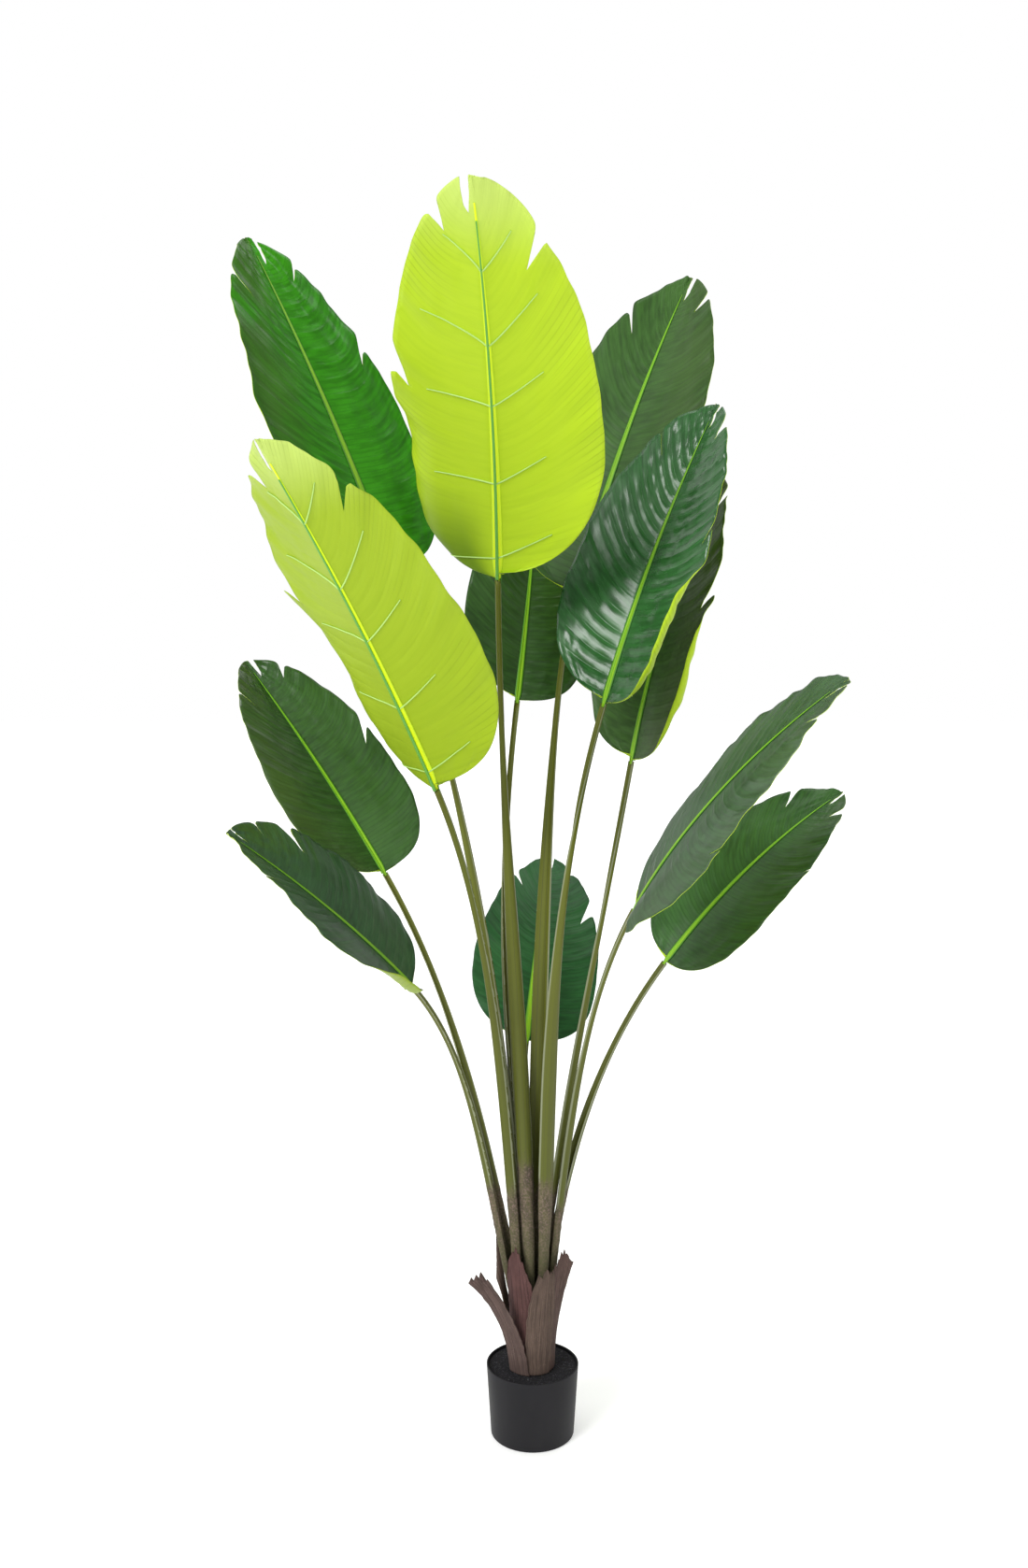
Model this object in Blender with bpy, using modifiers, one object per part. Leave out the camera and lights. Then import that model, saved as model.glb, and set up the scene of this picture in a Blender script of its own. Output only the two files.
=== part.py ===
"""Artificial traveller's palm: twelve cloth leaves on channelled stems, dried sheaths round a
short trunk, and a small plain pot filled to its rim. Metres, +Z up, with the origin at the
middle of the pot's flat underside. -Y is the front."""

import math
from collections import namedtuple

import bmesh
import bpy
from mathutils import Matrix, Vector

GAP = 0.0003

# Pot and filling
POT_HEIGHT = 0.125
POT_RIM_RADIUS = 0.080
POT_FOOT_RADIUS = 0.0725
POT_WALL = 0.003
POT_FLOOR = 0.004
POT_EDGE = 0.0015
FILL_DROP = 0.004
ROUND_STEPS = 32

# Trunk, set into the filling
TRUNK_DEPTH = 0.030
TRUNK_TOP = 0.205
TRUNK_FOOT_RADIUS = 0.0365
TRUNK_RADIUS = 0.0345
TRUNK_FLARE_HEIGHT = 0.045
TRUNK_STEPS = 24

# Rings of stem feet on the trunk's flat top
INNER_RING = 0.0112
OUTER_RING = 0.0265

# Stems: a channel that is wide below, narrow at the leaf, and narrow again at its foot
STEM_NECK = 0.0100
STEM_NECK_DEPTH = 0.0085
STEM_BELLY_DEPTH = 0.0125
STEM_FOOT = 0.0165
INNER_STEM_FOOT = 0.0100
STEM_FOOT_DEPTH = 0.0095
STEM_GROOVE = 0.42
BELLY_ENDS = (0.36, 0.80)
FOOT_ENDS = (0.02, 0.26)
LEVEL_FOOT = (0.0, 0.10)
FOOT_HANDLE = 0.35
STEM_RINGS = 13
OUTER_ARC = 6
GROOVE_POINTS = (0.5, 0.0, -0.5)

# Leaf blade, in shares of the rib's length
LARGE = 0.655
MEDIUM = 0.545
SMALL = 0.450
HALF_WIDTH = 0.262
WIDEST = 0.36
BASE_ROUNDNESS = 2.4
TIP_TAPER = 0.65
VEIN_SWEEP = 1.5
BLADE_THICKNESS = 0.0104
BLADE_END = 0.010
BLADE_NECK = 0.012
BLADE_ROWS = (0.0, 0.008, 0.03, 0.07, 0.14, 0.23, 0.33, 0.5, 0.6, 0.95, 1.0)
BLADE_COLUMNS = (0.0, 0.38, 0.72, 1.0)

# Tears that run in from the margin along a vein: rib station, share of the vein that is left
TEAR_OPENS = 0.07
TEAR_LIP = 0.006
Tear = namedtuple("Tear", "side station left")
UPPER_TEARS = (
    Tear(-1, 0.707, 0.66),
    Tear(1, 0.83, 0.60),
    Tear(1, 0.91, 0.16),
)
MARGIN_TEAR_LEFT = 0.78

# One leaf. Tip is where its stem ends and its rib begins, and tear the rib station of the tear in
# the right margin. Angles are in degrees: heading and rise of the straight line from the rib's
# base to its tip, droop along the rib, roll towards the right of the rib, and the lift of the
# left and right halves above the rib, with their curl back down
Leaf = namedtuple("Leaf", "name length tip heading rise droop roll left right curl tear")
LEAVES = (
    Leaf("top", LARGE, (-0.059, -0.050, 1.476), -94, 50, 24, -9, 8, 20, 18, 0.385),
    Leaf("upper_left", LARGE, (-0.249, 0.130, 1.506), 160, 65, 10, -23, 13, 8, 18, 0.50),
    Leaf("upper_right", LARGE, (0.074, 0.120, 1.454), 38, 65, 14, 16, 16, 18, 18, 0.40),
    Leaf("front_left", LARGE, (-0.158, -0.100, 1.136), -121, 50, 10, 0, 19, 25, 14, 0.43),
    Leaf("front_right", MEDIUM, (0.117, -0.040, 1.274), 25, 67, 14, 24, 23, 27, 20, 0.42),
    Leaf("back", SMALL, (-0.027, 0.180, 1.273), 80, 61, 18, 20, 18, 18, 20, 0.40),
    Leaf("right", MEDIUM, (0.174, 0.090, 1.170), 33, 69, 18, 4, 18, 22, 20, 0.405),
    Leaf("left", SMALL, (-0.255, 0.030, 0.981), 161, 54, 14, -36, 23, 27, 20, 0.385),
    Leaf("low_left", SMALL, (-0.200, -0.100, 0.814), -135, 39, 12, -48, 23, 20, 20, 0.58),
    Leaf("mid_right", MEDIUM, (0.164, -0.080, 0.936), -42, 45, 24, 42, 5, 9, 20, 0.37),
    Leaf("low_right", SMALL, (0.230, 0.040, 0.824), 18, 40, 26, 20, 20, 12, 20, 0.50),
    Leaf("low_back", SMALL, (-0.010, 0.120, 0.662), 82, 40, 26, 5, 6, 6, 20, 0.50),
)

# Shares of the stem's way between which its groove turns from the trunk's axis to the leaf's top
GROOVE_TURNS = (0.60, 1.0)

# The stem of each leaf: its ring and heading on the trunk's top, its greatest width, the share of
# its way's slant that it has at its foot, and the share of its way that it bends in at its tip
Stem = namedtuple("Stem", "ring foot_turn belly lean neck")
STEMS = {
    "top": Stem(OUTER_RING, -98, 0.029, 0.55, 0.35),
    "upper_left": Stem(INNER_RING, 212, 0.028, 0.55, 0.35),
    "upper_right": Stem(INNER_RING, 62, 0.030, 0.10, 0.15),
    "front_left": Stem(OUTER_RING, -143, 0.020, 0.55, 0.35),
    "front_right": Stem(OUTER_RING, -53, 0.030, 0.55, 0.35),
    "back": Stem(INNER_RING, 138, 0.0145, 0.55, 0.50),
    "right": Stem(INNER_RING, -14, 0.016, 0.55, 0.35),
    "left": Stem(OUTER_RING, 127, 0.016, 0.80, 0.35),
    "low_left": Stem(OUTER_RING, 172, 0.014, 0.80, 0.35),
    "mid_right": Stem(OUTER_RING, -8, 0.019, 0.55, 0.35),
    "low_right": Stem(OUTER_RING, 37, 0.015, 0.35, 0.35),
    "low_back": Stem(OUTER_RING, 82, 0.016, 0.55, 0.35),
}

# Dried sheaths round the trunk: heading of the middle, width at the shoulder, shares of it at
# the foot and the tip, layer outwards from the trunk, height, share of it that the corners of
# the tip lie lower, and at the tip its outward lean, how far round it has gone and its twist;
# the shoulder is a share of the height
SHEATH_THICKNESS = 0.0022
SHEATH_LAYER = 0.0030
SHEATH_ROWS = 7
SHEATH_COLUMNS = 6
SHEATH_SHOULDER = 0.40
Sheath = namedtuple("Sheath", "name middle wide foot layer height point tip lean skew twist")
SHEATHS = (
    Sheath("front_left", -126, 0.042, 1.00, 2, 0.183, 0.08, 0.92, 0.060, -25, 42),
    Sheath("front_right", -76, 0.054, 0.76, 1, 0.186, 0.03, 0.58, 0.014, 10, 0),
    Sheath("inner", -118, 0.068, 0.80, 0, 0.228, 0.22, 0.66, 0.010, -12, 0),
    Sheath("right", -25, 0.042, 1.00, 0, 0.214, 0.12, 0.85, 0.020, 4, -40),
    Sheath("back", 82, 0.044, 1.00, 1, 0.205, 0.30, 0.30, 0.016, 10, 0),
    Sheath("left", 152, 0.028, 1.00, 1, 0.211, 0.30, 0.30, 0.026, 8, 0),
)

# Base colour, roughness and metallic of each material
MATERIALS = {
    "pot": ((0.028, 0.027, 0.031), 0.55, 0.0),
    "filling": ((0.020, 0.019, 0.022), 0.95, 0.0),
    "trunk": ((0.100, 0.065, 0.040), 0.85, 0.0),
    "sheath": ((0.145, 0.085, 0.055), 0.80, 0.0),
    "stem": ((0.190, 0.195, 0.050), 0.50, 0.0),
    "leaf": ((0.045, 0.180, 0.025), 0.38, 0.0),
}


def clear_scene():
    for item in list(bpy.data.objects):
        bpy.data.objects.remove(item, do_unlink=True)


def new_collection(name):
    made = bpy.data.collections.new(name)
    bpy.context.scene.collection.children.link(made)
    return made


def material_of(name):
    """A material of this name, made the first time that it is asked for."""
    made = bpy.data.materials.get(name)
    if made:
        return made
    colour, roughness, metallic = MATERIALS[name]
    made = bpy.data.materials.new(name)
    made.use_nodes = True
    shader = made.node_tree.nodes["Principled BSDF"]
    shader.inputs["Base Color"].default_value = (*colour, 1.0)
    shader.inputs["Roughness"].default_value = roughness
    shader.inputs["Metallic"].default_value = metallic
    return made


def object_from(bm, name, material, collection):
    """An object made of this bmesh, shaded smooth, in its own collection."""
    mesh = bpy.data.meshes.new(name)
    bm.to_mesh(mesh)
    bm.free()
    made = bpy.data.objects.new(name, mesh)
    made.data.materials.append(material_of(material))
    mesh.shade_smooth()
    mesh.set_sharp_from_angle(angle=math.radians(40))
    collection.objects.link(made)
    return made


def turned(name, profile, steps, material, collection):
    """A solid turned round Z from (radius, height) points that run down its outer side."""
    bm = bmesh.new()
    points = [bm.verts.new((radius, 0, height)) for radius, height in profile]
    for first, second in zip(points, points[1:]):
        bm.edges.new((first, second))
    made = object_from(bm, name, material, collection)
    screw = made.modifiers.new("Turn", "SCREW")
    screw.steps = screw.render_steps = steps
    screw.use_merge_vertices = True
    screw.merge_threshold = 0.0001
    return made


def smooth(low, high, value):
    """0 below low and 1 above high, with a smooth way between."""
    share = min(max((value - low) / (high - low), 0.0), 1.0)
    return share * share * (3 - 2 * share)


def between(first, second, share):
    return first + (second - first) * share


def level(degrees):
    """The level unit vector at this heading."""
    angle = math.radians(degrees)
    return Vector((math.cos(angle), math.sin(angle), 0.0))


def pot_inner_radius(height):
    """Radius of the pot's inner wall at this height."""
    return between(POT_FOOT_RADIUS, POT_RIM_RADIUS, height / POT_HEIGHT) - POT_WALL


def build_pot(collection):
    """A plain tapered pot with a flat, closed floor and a softened rim."""
    profile = (
        (0.0, POT_FLOOR),
        (pot_inner_radius(POT_FLOOR), POT_FLOOR),
        (pot_inner_radius(POT_HEIGHT), POT_HEIGHT - POT_EDGE),
        (pot_inner_radius(POT_HEIGHT) + POT_EDGE / 2, POT_HEIGHT),
        (POT_RIM_RADIUS - POT_EDGE / 2, POT_HEIGHT),
        (POT_RIM_RADIUS, POT_HEIGHT - POT_EDGE),
        (POT_FOOT_RADIUS + POT_EDGE / 2, POT_EDGE),
        (POT_FOOT_RADIUS - POT_EDGE / 2, 0.0),
        (0.0, 0.0),
    )
    turned("pot", profile, ROUND_STEPS, "pot", collection)


def build_filling(collection):
    """The weight cast in the pot, nearly up to the rim, with the trunk's socket in its middle."""
    bottom = POT_FLOOR + GAP
    top = POT_HEIGHT - FILL_DROP
    socket = TRUNK_FOOT_RADIUS + GAP
    profile = (
        (0.0, top - TRUNK_DEPTH),
        (socket, top - TRUNK_DEPTH),
        (socket, top),
        (pot_inner_radius(top) - GAP, top),
        (pot_inner_radius(bottom) - GAP, bottom),
        (0.0, bottom),
    )
    turned("filling", profile, ROUND_STEPS, "filling", collection)


def trunk_radius(height):
    """Radius of the trunk at this height: it flares a little towards the filling."""
    foot = POT_HEIGHT - FILL_DROP
    return between(TRUNK_FOOT_RADIUS, TRUNK_RADIUS, smooth(foot, foot + TRUNK_FLARE_HEIGHT, height))


def build_trunk(collection):
    """The short trunk, hidden by the sheaths, that carries every stem on its flat top."""
    foot = POT_HEIGHT - FILL_DROP
    profile = (
        (0.0, TRUNK_TOP),
        (TRUNK_RADIUS, TRUNK_TOP),
        (TRUNK_RADIUS, foot + TRUNK_FLARE_HEIGHT),
        (TRUNK_FOOT_RADIUS, foot),
        (TRUNK_FOOT_RADIUS, foot - TRUNK_DEPTH + GAP),
        (0.0, foot - TRUNK_DEPTH + GAP),
    )
    turned("trunk", profile, TRUNK_STEPS, "trunk", collection)


def build_sheath(sheath, collection):
    """A dried leaf base: a strip of the trunk's skin that narrows upwards and leans out."""
    bm = bmesh.new()
    bmesh.ops.create_grid(bm, x_segments=SHEATH_COLUMNS, y_segments=SHEATH_ROWS, size=0.5)
    foot = POT_HEIGHT - FILL_DROP + GAP
    gap = SHEATH_LAYER * (sheath.layer + 0.5)
    for vertex in bm.verts:
        across, up = vertex.co.x, vertex.co.y + 0.5
        height = foot + sheath.height * up * (1 - sheath.point * 2 * abs(across) * up)
        shoulder = between(sheath.foot, 1.0, min(up / SHEATH_SHOULDER, 1.0))
        width = sheath.wide * shoulder * between(1.0, sheath.tip, up**4)
        radius = trunk_radius(foot) + gap + sheath.lean * up * up
        turn = sheath.middle + sheath.skew * up
        hugging = level(turn + math.degrees(width * across / radius)) * radius
        twisted = level(turn) * radius + level(turn + 90 + sheath.twist * up) * width * across
        vertex.co = between(hugging, twisted, up if sheath.twist else 0.0) + Vector((0, 0, height))
    made = object_from(bm, "sheath_" + sheath.name, "sheath", collection)
    wall = made.modifiers.new("Wall", "SOLIDIFY")
    wall.thickness = SHEATH_THICKNESS
    wall.offset = 0.0


def rib_frame(leaf, along):
    """Place, direction, right and top side of the leaf's rib, at this share of its length."""
    outward, up = level(leaf.heading), Vector((0.0, 0.0, 1.0))
    rise = math.radians(leaf.rise)
    chord = outward * math.cos(rise) + up * math.sin(rise)
    face = up * math.cos(rise) - outward * math.sin(rise)
    face = Matrix.Rotation(math.radians(leaf.roll), 3, chord) @ face
    droop = math.radians(leaf.droop)
    first, here = -droop / 2, droop * (along - 0.5)
    forward = chord * (math.sin(here) - math.sin(first))
    lifted = face * (math.cos(here) - math.cos(first))
    place = Vector(leaf.tip) + (forward + lifted) * leaf.length / droop
    direction = chord * math.cos(here) - face * math.sin(here)
    top = face * math.cos(here) + chord * math.sin(here)
    return place, direction, chord.cross(face), top


def half_width(along):
    """Half the blade's width at this share of the rib, as a share of its length."""
    if along < WIDEST:
        grown = max(along - BLADE_NECK, 0.0) / (WIDEST - BLADE_NECK)
        rest = (1 - grown) ** BASE_ROUNDNESS
        shape = (1 - rest) ** (1 / BASE_ROUNDNESS)
    else:
        shape = max(1 - ((along - WIDEST) / (1 - WIDEST)) ** 2, 0.0) ** TIP_TAPER
    return max(HALF_WIDTH * shape, BLADE_END)


def tears_of(leaf):
    return (*UPPER_TEARS, Tear(1, leaf.tear, MARGIN_TEAR_LEFT))


def vein_left(leaf, side, station):
    """Share of the vein at this station that the tears leave on this side of the rib."""
    left = 1.0
    for tear in tears_of(leaf):
        past = station - tear.station
        if tear.side == side and 0 <= past < TEAR_OPENS:
            left = min(left, between(tear.left, 1.0, smooth(0, TEAR_OPENS, past)))
    return left


def blade_point(leaf, station, across):
    """A point of the blade: on the vein from this rib station, at -1 to 1 across the blade."""
    side = 1 if across > 0 else -1
    share = abs(across) * vein_left(leaf, side, station)
    margin = 1 - (1 - station) ** VEIN_SWEEP
    along = between(station, margin, share**2)
    reach = share * half_width(margin) * leaf.length
    lift = math.radians(leaf.right if side > 0 else leaf.left)
    bend = math.radians(leaf.curl) / (HALF_WIDTH * leaf.length)
    out = (math.sin(lift) - math.sin(lift - bend * reach)) / bend
    raised = (math.cos(lift - bend * reach) - math.cos(lift)) / bend
    place, direction, right, top = rib_frame(leaf, along)
    return place + right * side * out + top * raised + direction * GAP


def blade_stations(leaf):
    """Rib stations of the blade's rows: its own, and four at each tear."""
    stations = set(BLADE_ROWS)
    for tear in tears_of(leaf):
        opened = min(tear.station + TEAR_OPENS, 1.0)
        stations |= {tear.station - TEAR_LIP, tear.station, between(tear.station, opened, 0.5), opened}
    return sorted(stations)


def build_leaf(leaf, collection):
    """One blade: a grid of veins from the rib to the margin, with the cloth's thickness."""
    stations = blade_stations(leaf)
    columns = sorted({-column for column in BLADE_COLUMNS} | set(BLADE_COLUMNS))
    across_quads, along_quads = len(columns) - 1, len(stations) - 1
    bm = bmesh.new()
    bmesh.ops.create_grid(bm, x_segments=across_quads, y_segments=along_quads, size=0.5)
    for vertex in bm.verts:
        column = round((vertex.co.x + 0.5) * across_quads)
        row = round((vertex.co.y + 0.5) * along_quads)
        vertex.co = blade_point(leaf, stations[row], columns[column])
    made = object_from(bm, "leaf_" + leaf.name, "leaf", collection)
    cloth = made.modifiers.new("Cloth", "SOLIDIFY")
    cloth.thickness = BLADE_THICKNESS * leaf.length
    cloth.offset = 0.0


def stem_foot(stem):
    """Where the stem stands on the trunk's top."""
    return level(stem.foot_turn) * stem.ring + Vector((0, 0, TRUNK_TOP + GAP))


def stem_point(leaf, share):
    """Place and direction on the stem's curve, which runs on into the leaf's rib."""
    stem = STEMS[leaf.name]
    foot, tip = stem_foot(stem), Vector(leaf.tip)
    way = tip - foot
    start = Vector((way.x * stem.lean, way.y * stem.lean, way.z)).normalized()
    end = rib_frame(leaf, 0.0)[1]
    points = (foot, foot + start * way.length * FOOT_HANDLE, tip - end * way.length * stem.neck, tip)
    rest = 1 - share
    place = Vector((0, 0, 0))
    for weight, point in zip((rest**3, 3 * rest**2 * share, 3 * rest * share**2, share**3), points):
        place += point * weight
    direction = Vector((0, 0, 0))
    steps = zip((rest**2, 2 * rest * share, share**2), points, points[1:])
    for weight, first, second in steps:
        direction += (second - first) * weight
    return place, direction.normalized()


def stem_section(leaf, share):
    """Corners of the stem's section: a rounded back, and a groove that faces the crown."""
    stem = STEMS[leaf.name]
    place, direction = stem_point(leaf, share)
    direction = between(Vector((0, 0, 1)), direction, smooth(*LEVEL_FOOT, share)).normalized()
    facing = between(-level(stem.foot_turn), rib_frame(leaf, 0.0)[3], smooth(*GROOVE_TURNS, share))
    top = (facing - direction * facing.dot(direction)).normalized()
    right = direction.cross(top)
    slim = smooth(*BELLY_ENDS, share)
    grown = smooth(*FOOT_ENDS, share)
    foot_width = min(STEM_FOOT if stem.ring == OUTER_RING else INNER_STEM_FOOT, stem.belly)
    width = between(foot_width, between(stem.belly, STEM_NECK, slim), grown)
    depth = between(STEM_FOOT_DEPTH, between(STEM_BELLY_DEPTH, STEM_NECK_DEPTH, slim), grown)
    lip = place + top * depth / 2
    corners = []
    for step in range(OUTER_ARC + 1):
        angle = math.pi * step / OUTER_ARC
        corners.append(lip - right * math.cos(angle) * width / 2 - top * math.sin(angle) * depth)
    for spot in GROOVE_POINTS:
        sunk = STEM_GROOVE * depth * (1 - spot * spot)
        corners.append(lip + right * spot * width / 2 - top * sunk)
    return corners


def build_stem(leaf, collection):
    """One stem, lofted from its foot on the trunk to the blade that it carries."""
    bm = bmesh.new()
    rings = []
    for step in range(STEM_RINGS + 1):
        share = step / STEM_RINGS
        rings.append([bm.verts.new(corner) for corner in stem_section(leaf, share)])
    for low, high in zip(rings, rings[1:]):
        for index in range(len(low)):
            bm.faces.new((low[index - 1], low[index], high[index], high[index - 1]))
    bm.faces.new(reversed(rings[0]))
    bm.faces.new(rings[-1])
    bmesh.ops.recalc_face_normals(bm, faces=bm.faces)
    object_from(bm, "stem_" + leaf.name, "stem", collection)


def main():
    clear_scene()
    palm = new_collection("travellers_palm")
    build_pot(palm)
    build_filling(palm)
    build_trunk(palm)
    for sheath in SHEATHS:
        build_sheath(sheath, palm)
    for leaf in LEAVES:
        build_stem(leaf, palm)
        build_leaf(leaf, palm)


main()
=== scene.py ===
# An artificial traveller's palm in a small black pot: twelve cloth leaves on channelled plastic
# stems, dried sheaths round a short trunk, and cement in the pot. Metres, +Z up, front is -Y.

import math
from collections import namedtuple

import bmesh
import bpy
import numpy as np
from mathutils import Matrix, Vector, noise


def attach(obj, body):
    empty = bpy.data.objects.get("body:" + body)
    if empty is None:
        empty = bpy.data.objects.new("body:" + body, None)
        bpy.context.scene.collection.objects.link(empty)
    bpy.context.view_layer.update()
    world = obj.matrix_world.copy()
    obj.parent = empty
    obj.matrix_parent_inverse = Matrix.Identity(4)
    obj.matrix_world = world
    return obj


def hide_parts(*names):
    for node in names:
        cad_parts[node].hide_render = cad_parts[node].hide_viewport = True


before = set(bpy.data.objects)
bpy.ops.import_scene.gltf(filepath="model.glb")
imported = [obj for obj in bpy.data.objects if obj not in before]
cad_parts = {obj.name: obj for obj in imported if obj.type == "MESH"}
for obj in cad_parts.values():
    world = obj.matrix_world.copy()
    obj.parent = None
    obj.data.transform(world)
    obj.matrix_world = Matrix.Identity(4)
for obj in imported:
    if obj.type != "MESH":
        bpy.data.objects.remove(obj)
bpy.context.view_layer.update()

# Camera: where the photograph was taken from, a little above the middle of the plant and
# looking slightly down.

CAMERA_PLACE = (-0.0323, -2.354, 1.340)
CAMERA_LOOKS_DOWN = 4.9
CAMERA_LENS = 32.18
CAMERA_SENSOR = 36.0

camera = bpy.data.objects.new("camera", bpy.data.cameras.new("camera"))
camera.data.sensor_width = CAMERA_SENSOR
camera.data.lens = CAMERA_LENS
camera.location = CAMERA_PLACE
camera.rotation_euler = (math.radians(90 - CAMERA_LOOKS_DOWN), 0, 0)
bpy.context.scene.collection.objects.link(camera)
bpy.context.scene.camera = camera

# Studio: a white room with a soft key light on the left in front, weaker ones on the right and
# level with the plant, and two behind it, on the left and above, that put a sheen on the leaves.

ROOM_COLOUR = (1.0, 1.0, 1.0, 1.0)
ROOM_WHITE = 1.0
ROOM_LIGHT = 0.40
# Each light: name, the side that it comes from, how wide it is in degrees, and its power
SUNS = (
    ("key", (-1.5, -1.7, 1.35), 26, 2.1),
    ("fill", (1.8, -1.2, 0.5), 60, 0.5),
    ("front", (0.2, -2.4, 0.3), 80, 0.7),
    ("side", (-1.7, 0.8, 0.9), 60, 0.6),
    ("rim", (0.5, 0.9, 2.6), 50, 1.0),
)

bpy.context.scene.view_settings.view_transform = "Standard"
room = bpy.data.worlds.new("room")
room.use_nodes = True
room_nodes, room_links = room.node_tree.nodes, room.node_tree.links
room_seen = room_nodes["Background"]
room_glow = room_nodes.new("ShaderNodeBackground")
room_path = room_nodes.new("ShaderNodeLightPath")
room_mix = room_nodes.new("ShaderNodeMixShader")
for backdrop, strength in ((room_seen, ROOM_WHITE), (room_glow, ROOM_LIGHT)):
    backdrop.inputs["Color"].default_value = ROOM_COLOUR
    backdrop.inputs["Strength"].default_value = strength
room_links.new(room_path.outputs["Is Camera Ray"], room_mix.inputs[0])
room_links.new(room_glow.outputs[0], room_mix.inputs[1])
room_links.new(room_seen.outputs[0], room_mix.inputs[2])
room_links.new(room_mix.outputs[0], room_nodes["World Output"].inputs["Surface"])
bpy.context.scene.world = room
for sun_name, sun_place, sun_spread, sun_power in SUNS:
    sun_data = bpy.data.lights.new(sun_name, "SUN")
    sun_data.angle = math.radians(sun_spread)
    sun_data.energy = sun_power
    sun = bpy.data.objects.new(sun_name, sun_data)
    sun.location = sun_place
    sun.rotation_euler = Vector(sun_place).to_track_quat("Z", "Y").to_euler()
    bpy.context.scene.collection.objects.link(sun)

# Floor: a level sheet of matte white board that the pot stands on. It reaches far past the view, so
# that no edge shows, and glows a little, to come out as white as the photograph's ground.

FLOOR_HALF = 30.0
FLOOR_COLOUR = (0.95, 0.95, 0.95)
FLOOR_ROUGHNESS = 0.9
FLOOR_LIGHT = (1.0, 1.0, 1.0)
FLOOR_GLOW = 0.25
# Sockets of the Mix node that carry its two colours and its result
MIX_FIRST = 6
MIX_SECOND = 7
MIX_RESULT = 2


class Flow:
    """A value or colour on its way through a material, so that its sums read as Python."""

    def __init__(self, finish, socket):
        self.finish = finish
        self.socket = socket

    def maths(self, operation, *values):
        return self.finish.node("ShaderNodeMath", {"operation": operation}, dict(enumerate(values)))

    def __add__(self, other):
        return self.maths("ADD", self, other)

    __radd__ = __add__

    def __sub__(self, other):
        return self.maths("SUBTRACT", self, other)

    def __rsub__(self, other):
        return self.maths("SUBTRACT", other, self)

    def __mul__(self, other):
        return self.maths("MULTIPLY", self, other)

    __rmul__ = __mul__

    def __abs__(self):
        return self.maths("ABSOLUTE", self)

    def ramp(self, low, high):
        """0 below low and 1 above high, with a smooth way between."""
        sockets = {"Value": self, "From Min": low, "From Max": high}
        return self.finish.node("ShaderNodeMapRange", {"interpolation_type": "SMOOTHSTEP"}, sockets)


class Finish:
    """A material: node() makes its nodes, and set() gives its shader a value or a Flow."""

    def __init__(self, name, **sockets):
        self.material = bpy.data.materials.new(name)
        self.material.use_nodes = True
        self.tree = self.material.node_tree
        self.shader = self.tree.nodes["Principled BSDF"]
        self.set(**sockets)

    def put(self, socket, value):
        if isinstance(value, Flow):
            self.tree.links.new(value.socket, socket)
        elif isinstance(value, tuple) and len(socket.default_value) > len(value):
            socket.default_value = (*value, 1.0)
        else:
            socket.default_value = value

    def set(self, **sockets):
        for name, value in sockets.items():
            self.put(self.shader.inputs[name.replace("_", " ").title().replace("Ior", "IOR")], value)

    def node(self, kind, settings=None, sockets=None, output=0):
        made = self.tree.nodes.new(kind)
        for name, value in (settings or {}).items():
            setattr(made, name, value)
        for key, value in (sockets or {}).items():
            self.put(made.inputs[key], value)
        return Flow(self, made.outputs[output])

    def mix(self, share, first, second):
        """The first colour, or the second where share is 1."""
        sockets = {"Factor": share, MIX_FIRST: first, MIX_SECOND: second}
        return self.node("ShaderNodeMix", {"data_type": "RGBA"}, sockets, output=MIX_RESULT)

    def place(self, stretch=(1.0, 1.0, 1.0)):
        """Where a point is, in metres, stretched."""
        where = self.node("ShaderNodeTexCoord", output="Object")
        return self.node("ShaderNodeVectorMath", {"operation": "MULTIPLY"}, {0: where, 1: stretch})

    def mark(self, stretch=(1.0, 1.0, 1.0)):
        """Where a point lies across and along its own piece, as shares, stretched."""
        where = self.node("ShaderNodeAttribute", {"attribute_name": "mark"}, output="Vector")
        return self.node("ShaderNodeVectorMath", {"operation": "MULTIPLY"}, {0: where, 1: stretch})

    def parts(self, vector):
        """The three numbers of a vector."""
        split = self.node("ShaderNodeSeparateXYZ", None, {0: vector})
        return [Flow(self, output) for output in split.socket.node.outputs]

    def grain(self, where, scale=1.0, detail=4.0):
        """Fractal noise from about 0 to 1."""
        return self.node("ShaderNodeTexNoise", None, {"Vector": where, "Scale": scale, "Detail": detail})

    def relief(self, height, distance, strength=1.0):
        """Turns a height into the shader's normal."""
        sockets = {"Height": height, "Distance": distance, "Strength": strength}
        self.set(normal=self.node("ShaderNodeBump", None, sockets))


bpy.ops.mesh.primitive_plane_add(size=2 * FLOOR_HALF)
floor = bpy.context.object
floor.name = "floor"
floor_finish = Finish("floor", base_color=FLOOR_COLOUR, roughness=FLOOR_ROUGHNESS)
floor_finish.set(emission_color=FLOOR_LIGHT, emission_strength=FLOOR_GLOW)
floor.data.materials.append(floor_finish.material)

# Pot: a plain tapered nursery pot of matte black plastic, moulded in one piece, with a thin rim
# and a flat foot.

POT_HEIGHT = 0.125
POT_RIM_RADIUS = 0.080
POT_FOOT_RADIUS = 0.0725
POT_WALL = 0.0028
POT_FLOOR = 0.004
RIM_ROUND = 0.0012
FOOT_ROUND = 0.0025
POT_STEPS = 160
# First and last angle of the round on the rim and of the one at the foot
RIM_ARC = (150, 0)
FOOT_ARC = (0, -90)
ARC_STEPS = 6
SHARP_ANGLE = 35
WELD = 1e-6
POT_BLACK = (0.0068, 0.0064, 0.0082)
POT_WORN = (0.0130, 0.0122, 0.0146)
POT_CLOUD_STRETCH = (1.0, 1.0, 0.4)
POT_CLOUDS = 14.0
POT_GRAIN = 900.0
POT_GRAIN_DEPTH = 0.0001


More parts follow.
